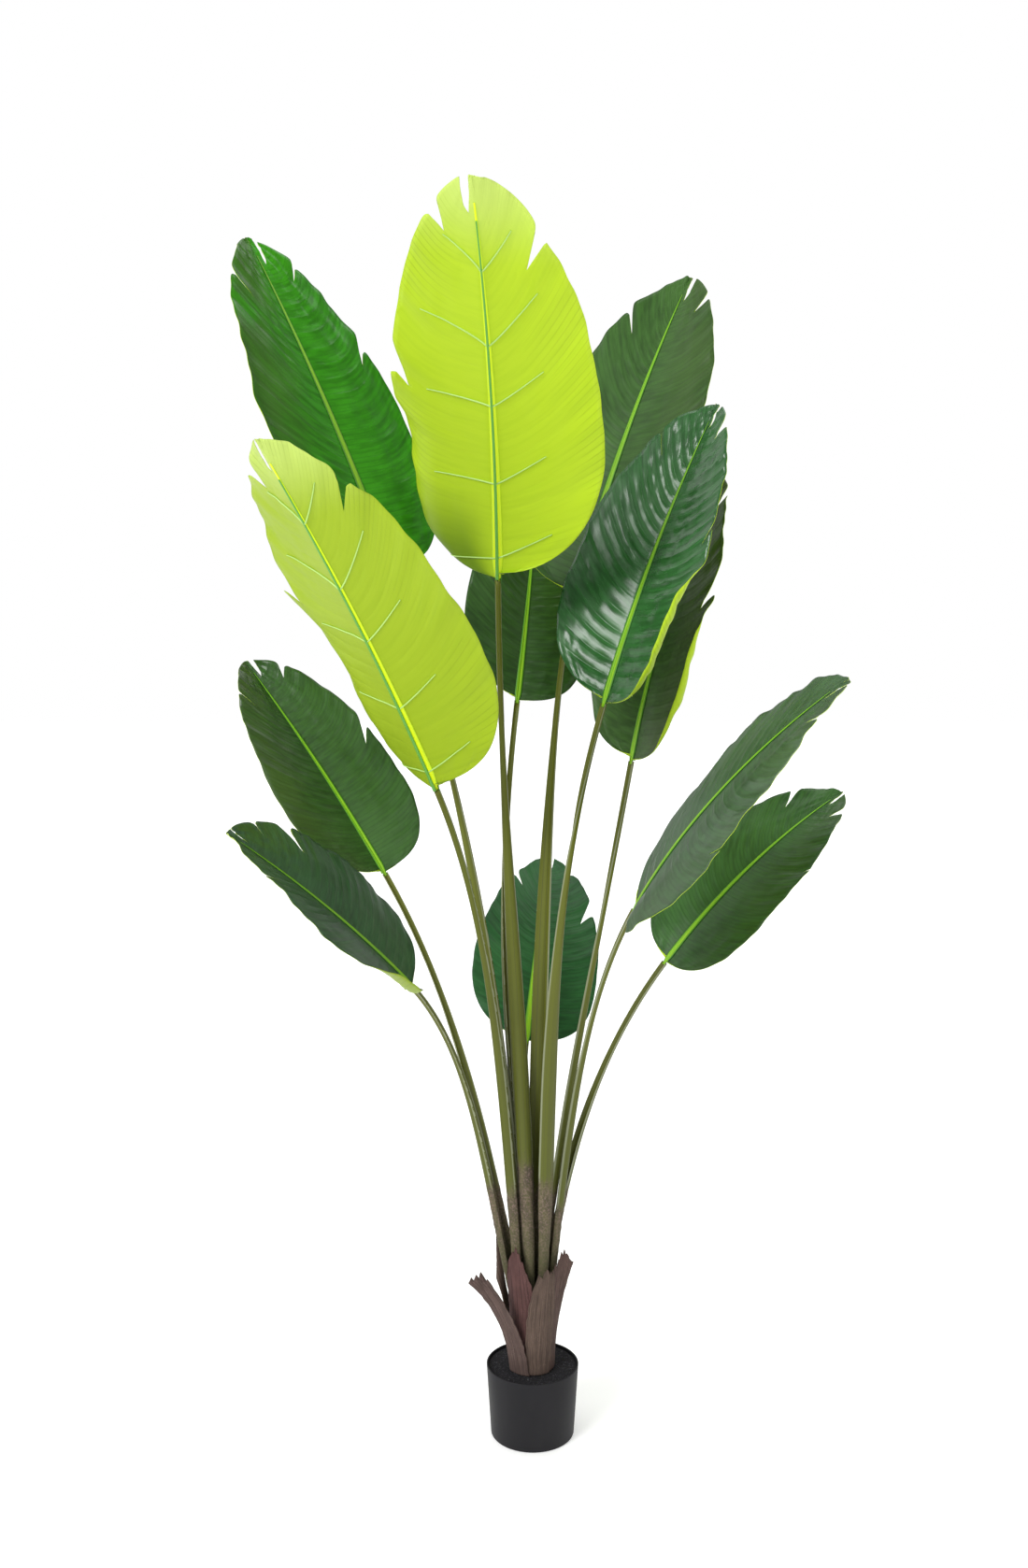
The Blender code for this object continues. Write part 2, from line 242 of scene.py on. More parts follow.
def smooth(low, high, value):
    """0 below low and 1 above high, with a smooth way between."""
    share = np.clip((value - low) / (high - low), 0.0, 1.0)
    return share * share * (3 - 2 * share)


def between(first, second, share):
    return first + (second - first) * share


def finished(name, mesh, finishes, slot, *nodes):
    """A piece of the plant: given its materials, and put in place of its nodes."""
    made = bpy.data.objects.new(name, mesh)
    for finish in finishes:
        mesh.materials.append(finish.material)
    bpy.context.scene.collection.objects.link(made)
    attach(made, "root")
    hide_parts(*nodes)
    return made


def arc(centre, radius, first, last):
    """(radius, height) points of a small rounded corner, from one angle to another."""
    points = []
    for step in range(ARC_STEPS + 1):
        angle = math.radians(between(first, last, step / ARC_STEPS))
        points.append((centre[0] + radius * math.cos(angle), centre[1] + radius * math.sin(angle)))
    return points


def turned(name, profile, steps):
    """A mesh turned round Z from a profile of (radius, height) points."""
    bm = bmesh.new()
    points = [bm.verts.new((radius, 0, height)) for radius, height in profile]
    for first, second in zip(points, points[1:]):
        bm.edges.new((first, second))
    sweep = {"cent": (0, 0, 0), "axis": (0, 0, 1), "angle": math.tau, "steps": steps, "use_merge": True}
    bmesh.ops.spin(bm, geom=bm.verts[:] + bm.edges[:], **sweep)
    bmesh.ops.remove_doubles(bm, verts=bm.verts, dist=WELD)
    bmesh.ops.recalc_face_normals(bm, faces=bm.faces)
    mesh = bpy.data.meshes.new(name)
    bm.to_mesh(mesh)
    bm.free()
    mesh.shade_smooth()
    mesh.set_sharp_from_angle(angle=math.radians(SHARP_ANGLE))
    return mesh


def pot_radius(height):
    return between(POT_FOOT_RADIUS, POT_RIM_RADIUS, height / POT_HEIGHT)


pot_profile = [(0.0, POT_FLOOR), (pot_radius(POT_FLOOR) - POT_WALL, POT_FLOOR)]
pot_profile += [(pot_radius(POT_HEIGHT) - POT_WALL, POT_HEIGHT - RIM_ROUND)]
pot_profile += arc((POT_RIM_RADIUS - RIM_ROUND, POT_HEIGHT - RIM_ROUND), RIM_ROUND, *RIM_ARC)
pot_profile += [(pot_radius(0.5 * POT_HEIGHT), 0.5 * POT_HEIGHT)]
pot_profile += arc((POT_FOOT_RADIUS - FOOT_ROUND, FOOT_ROUND), FOOT_ROUND, *FOOT_ARC)
pot_profile += [(0.0, 0.0)]

pot_finish = Finish("pot_plastic", specular_ior_level=0.22)
pot_cloud = pot_finish.grain(pot_finish.place(POT_CLOUD_STRETCH), POT_CLOUDS)
pot_fine = pot_finish.grain(pot_finish.place(), POT_GRAIN, detail=2.0)
pot_finish.set(base_color=pot_finish.mix(pot_cloud.ramp(0.40, 0.75) * 0.6, POT_BLACK, POT_WORN))
pot_finish.set(roughness=0.46 + 0.16 * pot_cloud)
pot_finish.relief(pot_fine, POT_GRAIN_DEPTH, 0.35)
finished("pot_shell", turned("pot_shell", pot_profile, POT_STEPS), [pot_finish], "pot", "pot")

# Filling: cement cast in the pot nearly to its rim and painted black, with a rough crumb pressed
# into its top. It holds the plant up by its weight.

FILLING_TOP = 0.121
FILLING_UNDER = 0.0043
WALL_GAP = 0.0002
CRUMB_RINGS = 44
CRUMB_STEPS = 260
CRUMB_HEIGHT = 0.0022
CRUMB_SUNK = 0.0012
CRUMB_MIDDLE = 0.02
# The lumps in three sizes, each with its share of the height and how many there are to a metre
CRUMB_LUMPS = ((0.55, 320), (0.30, 800), (0.35, 60))
# Shares of the radius between which the lumps grow lower, and how low they are at the wall
CRUMB_EDGE = (0.93, 1.0)
CRUMB_AT_WALL = 0.35
SEAM_WELD = 1e-7
FILLING_BLACK = (0.0105, 0.0100, 0.0120)
FILLING_GREY = (0.0760, 0.0740, 0.0850)
CRUMB_GRAIN = 420.0
CRUMB_PATCHES = 60.0
CRUMB_DEPTH = 0.0018


def grid_faces(bm, rows, columns):
    """Joins the vertices of bm, which were made row by row, by a net of faces."""
    bm.verts.ensure_lookup_table()
    for row in range(rows - 1):
        for column in range(columns - 1):
            first = row * columns + column
            corners = (first, first + 1, first + columns + 1, first + columns)
            bm.faces.new([bm.verts[corner] for corner in corners])


def grid_mesh(name, places, closed=False):
    """A mesh of rows by columns of points, marked with its shares; closed joins its long sides."""
    bm = bmesh.new()
    mark = bm.verts.layers.float_vector.new("mark")
    rows, columns = len(places), len(places[0])
    for row in range(rows):
        for column in range(columns):
            vertex = bm.verts.new(places[row][column])
            vertex[mark] = (column / (columns - 1), row / (rows - 1), 0.0)
    grid_faces(bm, rows, columns)
    if closed:
        bmesh.ops.remove_doubles(bm, verts=bm.verts, dist=SEAM_WELD)
        bmesh.ops.holes_fill(bm, edges=bm.edges, sides=0)
        bmesh.ops.recalc_face_normals(bm, faces=bm.faces)
    return smooth_mesh(name, bm)


def smooth_mesh(name, bm):
    mesh = bpy.data.meshes.new(name)
    bm.to_mesh(mesh)
    bm.free()
    mesh.shade_smooth()
    return mesh


def crumb_place(ring, step):
    """A point of the filling's rough top, which is smoother where it meets the pot's wall."""
    share = ring / (CRUMB_RINGS - 1)
    angle = math.tau * step / (CRUMB_STEPS - 1)
    radius = (pot_radius(FILLING_TOP) - POT_WALL - WALL_GAP) * max(share, CRUMB_MIDDLE)
    flat = Vector((math.cos(angle) * radius, math.sin(angle) * radius, 0.0))
    lumps = sum(size * noise.noise(flat * count) for size, count in CRUMB_LUMPS)
    rough = between(CRUMB_AT_WALL, 1.0, 1 - smooth(*CRUMB_EDGE, share))
    return flat + Vector((0, 0, FILLING_TOP - CRUMB_SUNK + CRUMB_HEIGHT * lumps * rough))


crumb_rows = [[crumb_place(ring, step) for step in range(CRUMB_STEPS)] for ring in range(CRUMB_RINGS)]
under_radius = pot_radius(FILLING_UNDER) - POT_WALL - WALL_GAP
under_row = []
for place in crumb_rows[-1]:
    outward = Vector((place.x, place.y, 0)).normalized()
    under_row.append(outward * under_radius + Vector((0, 0, FILLING_UNDER)))
crumb_rows.append(under_row)
filling_mesh = grid_mesh("filling_crumb", crumb_rows, closed=True)
filling_finish = Finish("filling_crumb", roughness=0.95, specular_ior_level=0.25)
crumb_spots = filling_finish.grain(filling_finish.place(), CRUMB_GRAIN, detail=3.0)
crumb_patches = filling_finish.grain(filling_finish.place(), CRUMB_PATCHES)
crumb_light = crumb_spots.ramp(0.52, 0.70) * (0.25 + 0.75 * crumb_patches.ramp(0.35, 0.70))
filling_finish.set(base_color=filling_finish.mix(crumb_light, FILLING_BLACK, FILLING_GREY))
filling_finish.relief(crumb_spots, CRUMB_DEPTH)
finished("filling_crumb", filling_mesh, [filling_finish], "filling", "filling")

# Trunk: a short core of brown plastic that carries every stem. It stands on the filling, is wound
# with dark fibre, and is hidden by the sheaths.

TRUNK_TOP = 0.205
TRUNK_FOOT_RADIUS = 0.0365
TRUNK_RADIUS = 0.0345
TRUNK_FLARE_HEIGHT = 0.045
TRUNK_ROWS = 60
TRUNK_STEPS = 120
TRUNK_SUNK = 0.004
TRUNK_EYE = 0.004
TRUNK_RIDGES = 34
TRUNK_RIDGE = 0.0014
TRUNK_WANDER = 3
TRUNK_FIBRE = 0.0008
# Noise of the fibre: how many lumps to the trunk's radius and to a metre of its height
TRUNK_FIBRES = (9, 14)
TRUNK_DARK = (0.030, 0.018, 0.012)
TRUNK_BROWN = (0.110, 0.072, 0.045)
TRUNK_STRAND_STRETCH = (1.0, 1.0, 0.10)
TRUNK_STRANDS = 260.0
TRUNK_DEPTH = 0.001


def level(degrees):
    """The level unit vector at this heading."""
    return Vector((math.cos(math.radians(degrees)), math.sin(math.radians(degrees)), 0.0))


def trunk_radius(height):
    flare = smooth(FILLING_TOP, FILLING_TOP + TRUNK_FLARE_HEIGHT, height)
    return between(TRUNK_FOOT_RADIUS, TRUNK_RADIUS, flare)


def trunk_place(row, step):
    """A point of the trunk's fibrous side; the last row closes over its top."""
    turn = 360 * step / (TRUNK_STEPS - 1)
    height = between(FILLING_TOP - TRUNK_SUNK, TRUNK_TOP, min(row / (TRUNK_ROWS - 2), 1.0))
    around = level(turn)
    fine, tall = TRUNK_FIBRES
    fibre = noise.noise(Vector((around.x * fine, around.y * fine, height * tall)))
    ridge = 0.5 + 0.5 * math.cos(math.radians(turn) * TRUNK_RIDGES + TRUNK_WANDER * fibre)
    radius = trunk_radius(height) - TRUNK_RIDGE * ridge - TRUNK_FIBRE * abs(fibre)
    if row == TRUNK_ROWS - 1:
        radius = TRUNK_EYE
    return around * radius + Vector((0, 0, height))


trunk_rows = [[trunk_place(row, step) for step in range(TRUNK_STEPS)] for row in range(TRUNK_ROWS)]
trunk_mesh = grid_mesh("trunk_core", trunk_rows, closed=True)
trunk_finish = Finish("trunk_fibre", roughness=0.9, specular_ior_level=0.2)
trunk_strands = trunk_finish.grain(trunk_finish.place(TRUNK_STRAND_STRETCH), TRUNK_STRANDS)
trunk_finish.set(base_color=trunk_finish.mix(trunk_strands.ramp(0.35, 0.72), TRUNK_DARK, TRUNK_BROWN))
trunk_finish.relief(trunk_strands, TRUNK_DEPTH, 0.7)
finished("trunk_core", trunk_mesh, [trunk_finish], "trunk", "trunk")

# Dried sheaths: torn strips of brown fibrous husk glued round the trunk, each with its own tint.
# They narrow upwards, lean out and end in a ragged tear, and two of them twist.

SHEATH_ROWS = 90
SHEATH_COLUMNS = 40
SHEATH_THICKNESS = 0.0014
SHEATH_LAYER = 0.0030
SHEATH_RIB = 0.0005
SHEATH_RAGGED = 0.014
SHEATH_WAVE = 0.0020
SHEATH_LIFT = 0.0004
SHEATH_SHOULDER = 0.40
SHEATH_SIDE_WANDER = 0.10
RAGGED_POWER = 6
TIP_POWER = 4
STRIP_SEED = 7.3
# Noise over a strip: how many lumps across its width and along its length
FIBRE_SPREAD = (34, 1.6)
WAVE_SPREAD = (2, 2.5)
SIDE_SPREAD = (1, 16)
TEETH_SPREAD = (9, 0)
# Each sheath: heading, width, share of it at the foot, layer, height, how much lower its sides end,
# share of the width at the tip, how far it leans out, and how far it turns and twists on the way
Sheath = namedtuple("Sheath", "name middle wide foot layer height point tip lean skew twist")
SHEATHS = (
    Sheath("front_left", -126, 0.042, 1.00, 2, 0.183, 0.08, 0.92, 0.060, -25, 42),
    Sheath("front_right", -76, 0.054, 0.76, 1, 0.186, 0.03, 0.58, 0.014, 10, 0),
    Sheath("inner", -118, 0.068, 0.80, 0, 0.228, 0.22, 0.66, 0.010, -12, 0),
    Sheath("right", -25, 0.042, 1.00, 0, 0.214, 0.12, 0.85, 0.020, 4, -40),
    Sheath("back", 82, 0.044, 1.00, 1, 0.205, 0.30, 0.30, 0.016, 10, 0),
    Sheath("left", 152, 0.028, 1.00, 1, 0.211, 0.30, 0.30, 0.026, 8, 0),
)
SHEATH_TINTS = {
    "front_left": (0.106, 0.070, 0.060),
    "front_right": (0.110, 0.075, 0.058),
    "inner": (0.104, 0.050, 0.046),
    "right": (0.108, 0.068, 0.057),
    "back": (0.130, 0.094, 0.074),
    "left": (0.108, 0.072, 0.056),
}
# Share of the tint for the dark tone: painted shade in the grooves, and dark blotches
SHEATH_DARK = 0.38
SHEATH_PALE = (1.45, 0.02)
HUSK_FIBRES = (26.0, 2.2, 1.0)
HUSK_THREADS = (150.0, 9.0, 1.0)
HUSK_BLOTCH_STRETCH = (1.0, 1.0, 0.5)
HUSK_BLOTCHES = 55.0
HUSK_SPECK_STRETCH = (1.0, 1.0, 0.4)
HUSK_SPECKS = 620.0
HUSK_DEPTH = 0.0012


def strip_noise(sheath, spread, across, up):
    """Noise from -1 to 1 that belongs to this strip, at this share of its width and its length."""
    seed = STRIP_SEED * SHEATHS.index(sheath)
    return noise.noise(Vector((across * spread[0], seed, up * spread[1])))


def sheath_place(sheath, row, column):
    """A point of the strip: ribbed along its length, and torn along its upper edge."""
    up = row / (SHEATH_ROWS - 1)
    across = column / (SHEATH_COLUMNS - 1) - 0.5
    ragged = SHEATH_RAGGED * strip_noise(sheath, TEETH_SPREAD, across, up) * up**RAGGED_POWER
    foot = FILLING_TOP + SHEATH_LIFT
    height = foot + sheath.height * up * (1 - sheath.point * 2 * abs(across) * up) + ragged
    shoulder = between(sheath.foot, 1.0, min(up / SHEATH_SHOULDER, 1.0))
    width = sheath.wide * shoulder * between(1.0, sheath.tip, up**TIP_POWER)
    reach = width * across * (1 + SHEATH_SIDE_WANDER * strip_noise(sheath, SIDE_SPREAD, across, up))
    radius = trunk_radius(foot) + SHEATH_LAYER * (sheath.layer + 0.5) + sheath.lean * up * up
    turn = sheath.middle + sheath.skew * up
    hugging = level(turn + math.degrees(reach / radius)) * radius
    twisted = level(turn) * radius + level(turn + 90 + sheath.twist * up) * reach
    rib = SHEATH_RIB * strip_noise(sheath, FIBRE_SPREAD, across, up)
    wave = SHEATH_WAVE * strip_noise(sheath, WAVE_SPREAD, across, up)
    raised = level(turn + sheath.twist * up) * (rib + wave * up)
    return between(hugging, twisted, up if sheath.twist else 0.0) + raised + Vector((0, 0, height))


def sheath_finish(sheath):
    """Dry husk: long fibres in two tones of the strip's own tint, the darker one lying in the grooves as
    painted shade.
    """
    finish = Finish("husk_" + sheath.name, roughness=0.85, specular_ior_level=0.2)
    tint = SHEATH_TINTS[sheath.name]
    dark = tuple(SHEATH_DARK * part for part in tint)
    pale = tuple(SHEATH_PALE[0] * part + SHEATH_PALE[1] for part in tint)
    fibres = finish.grain(finish.mark(HUSK_FIBRES), detail=8.0)
    threads = finish.grain(finish.mark(HUSK_THREADS))
    blotches = finish.grain(finish.place(HUSK_BLOTCH_STRETCH), HUSK_BLOTCHES, detail=6.0)
    specks = finish.grain(finish.place(HUSK_SPECK_STRETCH), HUSK_SPECKS, detail=2.0)
    # Painted shade: the dark tone lies where the fibre relief is low, in its grooves
    body = finish.mix(fibres.ramp(0.25, 0.70), dark, tint)
    body = finish.mix(threads.ramp(0.50, 0.75) * 0.5, body, pale)
    body = finish.mix(blotches.ramp(0.45, 0.75) * 0.45, body, dark)
    body = finish.mix(specks.ramp(0.58, 0.75) * blotches.ramp(0.60, 0.35) * 0.6, body, pale)
    finish.set(base_color=body)
    finish.relief(fibres + 0.5 * threads, HUSK_DEPTH, 0.6)
    return finish


for sheath in SHEATHS:
    name = "husk_" + sheath.name
    columns = range(SHEATH_COLUMNS)
    rows = [[sheath_place(sheath, row, column) for column in columns] for row in range(SHEATH_ROWS)]
    finishes = [sheath_finish(sheath)]
    husk = finished(name, grid_mesh(name, rows), finishes, "sheath", "sheath_" + sheath.name)
    wall = husk.modifiers.new("Wall", "SOLIDIFY")
    wall.thickness = SHEATH_THICKNESS
    wall.offset = 0.0

# Leaves: printed cloth cut in one outline, dark and glossy above and pale lime below, pressed
# with pleats that sweep from the rib to the margin, and torn along the veins near the tip.
# Lengths are in metres and angles in degrees; stations are shares of the rib's length.

LARGE = 0.655
MEDIUM = 0.545
SMALL = 0.450
HALF_WIDTH = 0.262
WIDEST = 0.36
TIP_TAPER = 0.65
BLADE_END = 0.005
CLOTH = 0.0007
CLOTH_GAP = 0.0003
# Each leaf: length, where its rib begins, heading, rise and droop of the rib, its roll, how far each
# half is folded up, how far that curls down again, and the station of the tear in the margin
Leaf = namedtuple("Leaf", "name length tip heading rise droop roll left right curl tear")
LEAVES = (
    Leaf("top", LARGE, (-0.059, -0.050, 1.476), -94, 50, 24, -9, 8, 20, 18, 0.385),
    Leaf("upper_left", LARGE, (-0.249, 0.130, 1.506), 160, 65, 10, -23, 13, 8, 18, 0.500),
    Leaf("upper_right", LARGE, (0.074, 0.120, 1.454), 38, 65, 14, 16, 16, 18, 18, 0.400),
    Leaf("front_left", LARGE, (-0.158, -0.100, 1.136), -121, 50, 10, 0, 19, 25, 14, 0.430),
    Leaf("front_right", MEDIUM, (0.117, -0.040, 1.274), 25, 67, 14, 24, 23, 27, 20, 0.420),
    Leaf("back", SMALL, (-0.027, 0.180, 1.273), 80, 61, 18, 20, 18, 18, 20, 0.400),
    Leaf("right", MEDIUM, (0.174, 0.090, 1.170), 33, 69, 18, 4, 18, 22, 20, 0.405),
    Leaf("left", SMALL, (-0.255, 0.030, 0.981), 161, 54, 14, -36, 23, 27, 20, 0.385),
    Leaf("low_left", SMALL, (-0.200, -0.100, 0.814), -135, 39, 12, -48, 23, 20, 20, 0.580),
    Leaf("mid_right", MEDIUM, (0.164, -0.080, 0.936), -42, 45, 24, 42, 5, 9, 20, 0.370),
    Leaf("low_right", SMALL, (0.230, 0.040, 0.824), 18, 40, 26, 20, 20, 12, 20, 0.500),
    Leaf("low_back", SMALL, (-0.010, 0.120, 0.662), 82, 40, 26, 5, 6, 6, 20, 0.500),
)
# How each half is cut: where its base begins, how blunt that is, and how its veins sweep up
Half = namedtuple("Half", "side neck roundness sweep bow")
HALVES = (Half(-1, 0.022, 2.1, 1.9, 1.6), Half(1, 0.006, 3.0, 1.3, 3.2))
# Tears, as corners of the cut from its bottom: distance across, where 1 is the blade's greatest
# half width, and along the rib. The last is in the right margin, at each leaf's own station, and
# there 1 across is the half width at that station.
SLIT_BY_TIP = (
    (0.065, 0.911), (0.105, 0.926), (0.125, 0.970), (0.135, 1.050), (0.022, 1.050), (0.038, 0.960),
)
TEAR_BELOW_TIP = ((0.318, 0.856), (0.700, 0.969), (0.390, 0.996))
TEAR_LEFT = ((0.370, 0.788), (0.790, 0.956), (0.660, 1.075))
TEAR_MARGIN = ((0.000, 0.000), (0.360, 0.122), (0.150, 0.160))
# How far each tear stands open, and how far across the one in the margin begins
Tears = namedtuple("Tears", "slit below left margin depth")
TEARS = {
    "top": Tears(1.0, 1.0, 1.0, 1.0, 0.83),
    "upper_left": Tears(0.50, 0.40, 0.10, 0.80, 0.80),
    "upper_right": Tears(0.80, 0.80, 0.45, 0.40, 0.88),
    "front_left": Tears(1.0, 1.0, 0.80, 1.0, 0.83),
    "front_right": Tears(0.55, 0.55, 0.30, 0.30, 0.88),
    "back": Tears(0.80, 0.80, 0.80, 0.60, 0.85),
    "right": Tears(0.60, 0.80, 0.50, 1.0, 0.80),
    "left": Tears(0.70, 0.70, 0.06, 0.70, 0.80),
    "low_left": Tears(0.12, 0.08, 0.12, 0.90, 0.60),
    "mid_right": Tears(0.15, 0.20, 0.30, 0.30, 0.90),
    "low_right": Tears(0.60, 0.70, 0.70, 0.30, 0.93),
    "low_back": Tears(0.50, 0.80, 0.60, 1.0, 0.72),
}
# The tear in the margin lies on a vein: how that vein sweeps up, and how far up its sweep it lies
TEAR_SWEEP = 1.5
TEAR_ON_VEIN = 0.61
CUT_NEAR = 0.02
LOBE_REACH = 0.03
LOBE_SPREAD = 0.3
LOBE_START = 0.33
LOBE_ROUNDS = 14
LOBE_FLOP = 0.004
# The lobes beside a tear flop apart: how far from it, over what width, and the distances across
# from the tear's bottom between which that comes in
FLOP_REACH = 0.07
FLOP_PARTS = 0.01
FLOP_START = (-0.008, 0.065)
# Where a half bends up, or down where the angle is negative: side of the rib, stations between
# which it does, shares of the half's width where the bend begins and is complete, and angle
Curl = namedtuple("Curl", "side first last inner outer angle")
CURLS = {
    "top": (Curl(1, -0.20, 0.44, 0.58, 1.0, 60), Curl(-1, 0.62, 1.20, 0.30, 1.0, 42)),
    "front_left": (Curl(1, -0.20, 0.50, 0.45, 1.0, 46),),
    "front_right": (Curl(1, -0.08, 0.41, 0.72, 1.0, 90),),
    "right": (Curl(1, -0.05, 0.44, 0.85, 1.0, 118),),
    "upper_left": (Curl(1, 0.02, 0.60, 0.90, 1.0, 70), Curl(-1, 0.10, 0.55, 0.90, 1.0, 70)),
    "mid_right": (Curl(1, -0.30, 0.25, 0.03, 0.16, 13), Curl(1, -0.30, 0.80, 0.30, 1.0, -8)),
    "low_left": (Curl(-1, -0.30, 0.32, 0.40, 1.0, 62),),
    "low_right": (Curl(-1, 0.50, 0.80, 0.86, 1.0, 60),),
}
# The share of the way from a bend's end to its middle over which it comes in
CURL_EASE = 0.7
LEAF_SEEDS = 97
SIDE_SEED = 100
PLEATS = 22
PLEAT_ROWS = (0.0, 0.03, 0.08, 0.16, 0.26, 0.38, 0.50, 0.62, 0.74, 0.84, 0.92, 0.97)
PLEAT_POWER = 2.2
PLEAT_MEAN = 0.31
# Their pitch wanders in two waves: size, how fast it turns, and how many times the seed starts it
PLEAT_WANDER = ((0.22, 9.1, 1), (0.10, 27.7, 2))
# Patches of stronger and weaker pleats: how many, the mean and its spread, and the limits
PATCHES = 14
PATCH_STRENGTH = (0.70, 0.80)
PATCH_LIMITS = (0.15, 1.5)
# Shares of the half's width, and of the rib, between which the pleats come in or go
PLEATS_BY_RIB = (0.02, 0.20)
PLEATS_BY_MARGIN = (0.72, 1.0)
PLEATS_LOST = 0.70
PLEATS_BY_BASE = (0.0, 0.04)
CREASES = 3
DENT = 0.0011
# The dents in two sizes: seed, how many, and share of the depth
DENTS = ((7, 12, 1.0), (8, 25, 0.5))
DENTS_BY_RIB = (0.05, 0.4)
DENT_LIMIT = 1.2
RUFFLE = 0.0034
# The ruffles as three waves: size, how many along the leaf, and the divisor of the seed
RUFFLES = ((1.0, 3.1, 13), (0.50, 7.3, 7), (0.30, 15.0, 5))
RUFFLE_POWER = 3
BLADE_COLUMNS = 18
COLUMN_POWER = 0.85
STATION_SAMPLES = 4001
# Closer rows at the ends: how many, up to which station at the base and from which at the tip, and
# the least that two rows lie apart
END_ROWS = 14
BASE_ROWS_TO = 0.03
TIP_ROWS_FROM = 0.95
CLOSEST_ROWS = 0.0004
MILLIMETRE = 0.001
# Height of the pleats in millimetres, roughness, gloss, the half that is darker and browner and how
# far, and the colour of the upper side
Look = namedtuple("Look", "pleat rough shine brown_side brown top")
LOOKS = {
    "top": Look(0.4, 0.34, 0.5, 0, 0, (0.040, 0.150, 0.025)),
    "upper_left": Look(1.2, 0.22, 0.14, -1, 0.6, (0.034, 0.260, 0.004)),
    "upper_right": Look(0.8, 0.38, 0.18, 1, 0.3, (0.040, 0.114, 0.018)),
    "front_left": Look(0.6, 0.34, 0.5, 0, 0, (0.040, 0.150, 0.025)),
    "front_right": Look(2.8, 0.23, 0.50, 0, 0, (0.024, 0.115, 0.024)),
    "back": Look(1.9, 0.30, 0.26, 0, 0, (0.025, 0.080, 0.010)),
    "right": Look(1.2, 0.38, 0.24, 1, 0.5, (0.044, 0.116, 0.018)),
    "left": Look(0.9, 0.28, 0.32, -1, 0.4, (0.030, 0.096, 0.013)),
    "low_left": Look(0.9, 0.30, 0.6, 0, 0, (0.026, 0.088, 0.026)),
    "mid_right": Look(1.0, 0.33, 0.65, 1, 0.2, (0.038, 0.104, 0.032)),
    "low_right": Look(0.9, 0.34, 0.27, 1, 0.2, (0.030, 0.100, 0.018)),
    "low_back": Look(0.6, 0.42, 0.2, 0, 0, (0.014, 0.090, 0.020)),
}
BROWN = (0.045, 0.052, 0.018)
PALE = (0.435, 0.615, 0.012)
PALE_DEEP = (0.360, 0.545, 0.007)
PALE_TIP = (0.530, 0.680, 0.160)
# Colour of the painted shadow at the base of the underside; on the top leaf it stands for the shadow of the
# front-left leaf
BASE_SHADOW_COLOUR = (0.105, 0.200, 0.003)
# How light painted shade leaves a leaf's underside, and how deep the painted shadow at its base is, where
# they differ from the others
UNDER_PAINTED_SHADES = {"front_left": 0.71, "low_left": 0.52}
BASE_SHADOW_STRENGTHS = {"top": 0.9}
BASE_SHADOW_STRENGTH = 0.3
# Shares of the colour: printed veins and painted shade in the creases above, and painted shade in the
# creases below
VEIN_AND_CREASE_SHADE_DARK = 0.58
CREASE_SHADE_DARK = 0.62
# How the light clouds differ from the upper side's colour: red, green and blue, times and plus
CLOUD_LIGHT = ((1.4, 0.006), (1.3, 0.008), (1.4, 0.003))
TOP_VEINS = (3.0, 3.1, 0.0)
TOP_CLOUDS = 9.0
UNDER_VEINS = (2.0, 4.0, 0.0)
UNDER_CLOUDS = 7.0
PRINT_DEPTH = 0.0006


def rib_frame(leaf, along):
    """Places, directions, right sides and top sides of the rib at these shares of its length."""
    outward = np.array(level(leaf.heading))
    up = np.array((0.0, 0.0, 1.0))
    rise = math.radians(leaf.rise)
    chord = outward * math.cos(rise) + up * math.sin(rise)
    face = Vector(up * math.cos(rise) - outward * math.sin(rise))
    face = np.array(Matrix.Rotation(math.radians(leaf.roll), 3, Vector(chord)) @ face)
    droop = math.radians(leaf.droop)
    first = -droop / 2
    here = (droop * (along - 0.5))[..., None]
    forward = chord * (np.sin(here) - math.sin(first))
    lifted = face * (np.cos(here) - math.cos(first))
    place = np.array(leaf.tip) + (forward + lifted) * leaf.length / droop
    direction = chord * np.cos(here) - face * np.sin(here)
    top = face * np.cos(here) + chord * np.sin(here)
    return place, direction, np.cross(chord, face), top


def half_width(half, along):
    """Width of this half of the blade at these shares of the rib, as a share of its length."""
    grown = np.clip((along - half.neck) / (WIDEST - half.neck), 0.0, 1.0)
    low = (1 - (1 - grown) ** half.roundness) ** (1 / half.roundness)
    high = np.clip(1 - ((along - WIDEST) / (1 - WIDEST)) ** 2, 0.0, 1.0) ** TIP_TAPER
    return np.maximum(HALF_WIDTH * np.where(along < WIDEST, low, high), BLADE_END)


def drawn_together(corners, gape):
    """A tear's corners in shares of the length, with its sides nearer each other than they were."""
    corners = [Vector((across * HALF_WIDTH, along)) for across, along in corners]
    mouth = len(corners) // 2
    axis = (corners[mouth] + corners[mouth + 1]) / 2 - corners[0]
    moved = []
    for corner in corners:
        foot = corners[0] + axis * ((corner - corners[0]).dot(axis) / axis.length_squared)
        moved.append(foot + (corner - foot) * gape)
    return moved


def cuts_of(leaf, half):
    """The tears of this half, each as its corners from the bottom of the tear and its gape."""
    tears = TEARS[leaf.name]
    if half.side < 0:
        return [(drawn_together(TEAR_LEFT, tears.left), tears.left)]
    start = between(leaf.tear, 1 - (1 - leaf.tear) ** TEAR_SWEEP, TEAR_ON_VEIN)
    wide = half_width(half, np.array(start)) / HALF_WIDTH
    margin = [((tears.depth + across) * wide, start + along) for across, along in TEAR_MARGIN]
    return [
        (drawn_together(SLIT_BY_TIP, tears.slit), tears.slit),
        (drawn_together(TEAR_BELOW_TIP, tears.below), tears.below),
        (drawn_together(margin, tears.margin), tears.margin),
    ]


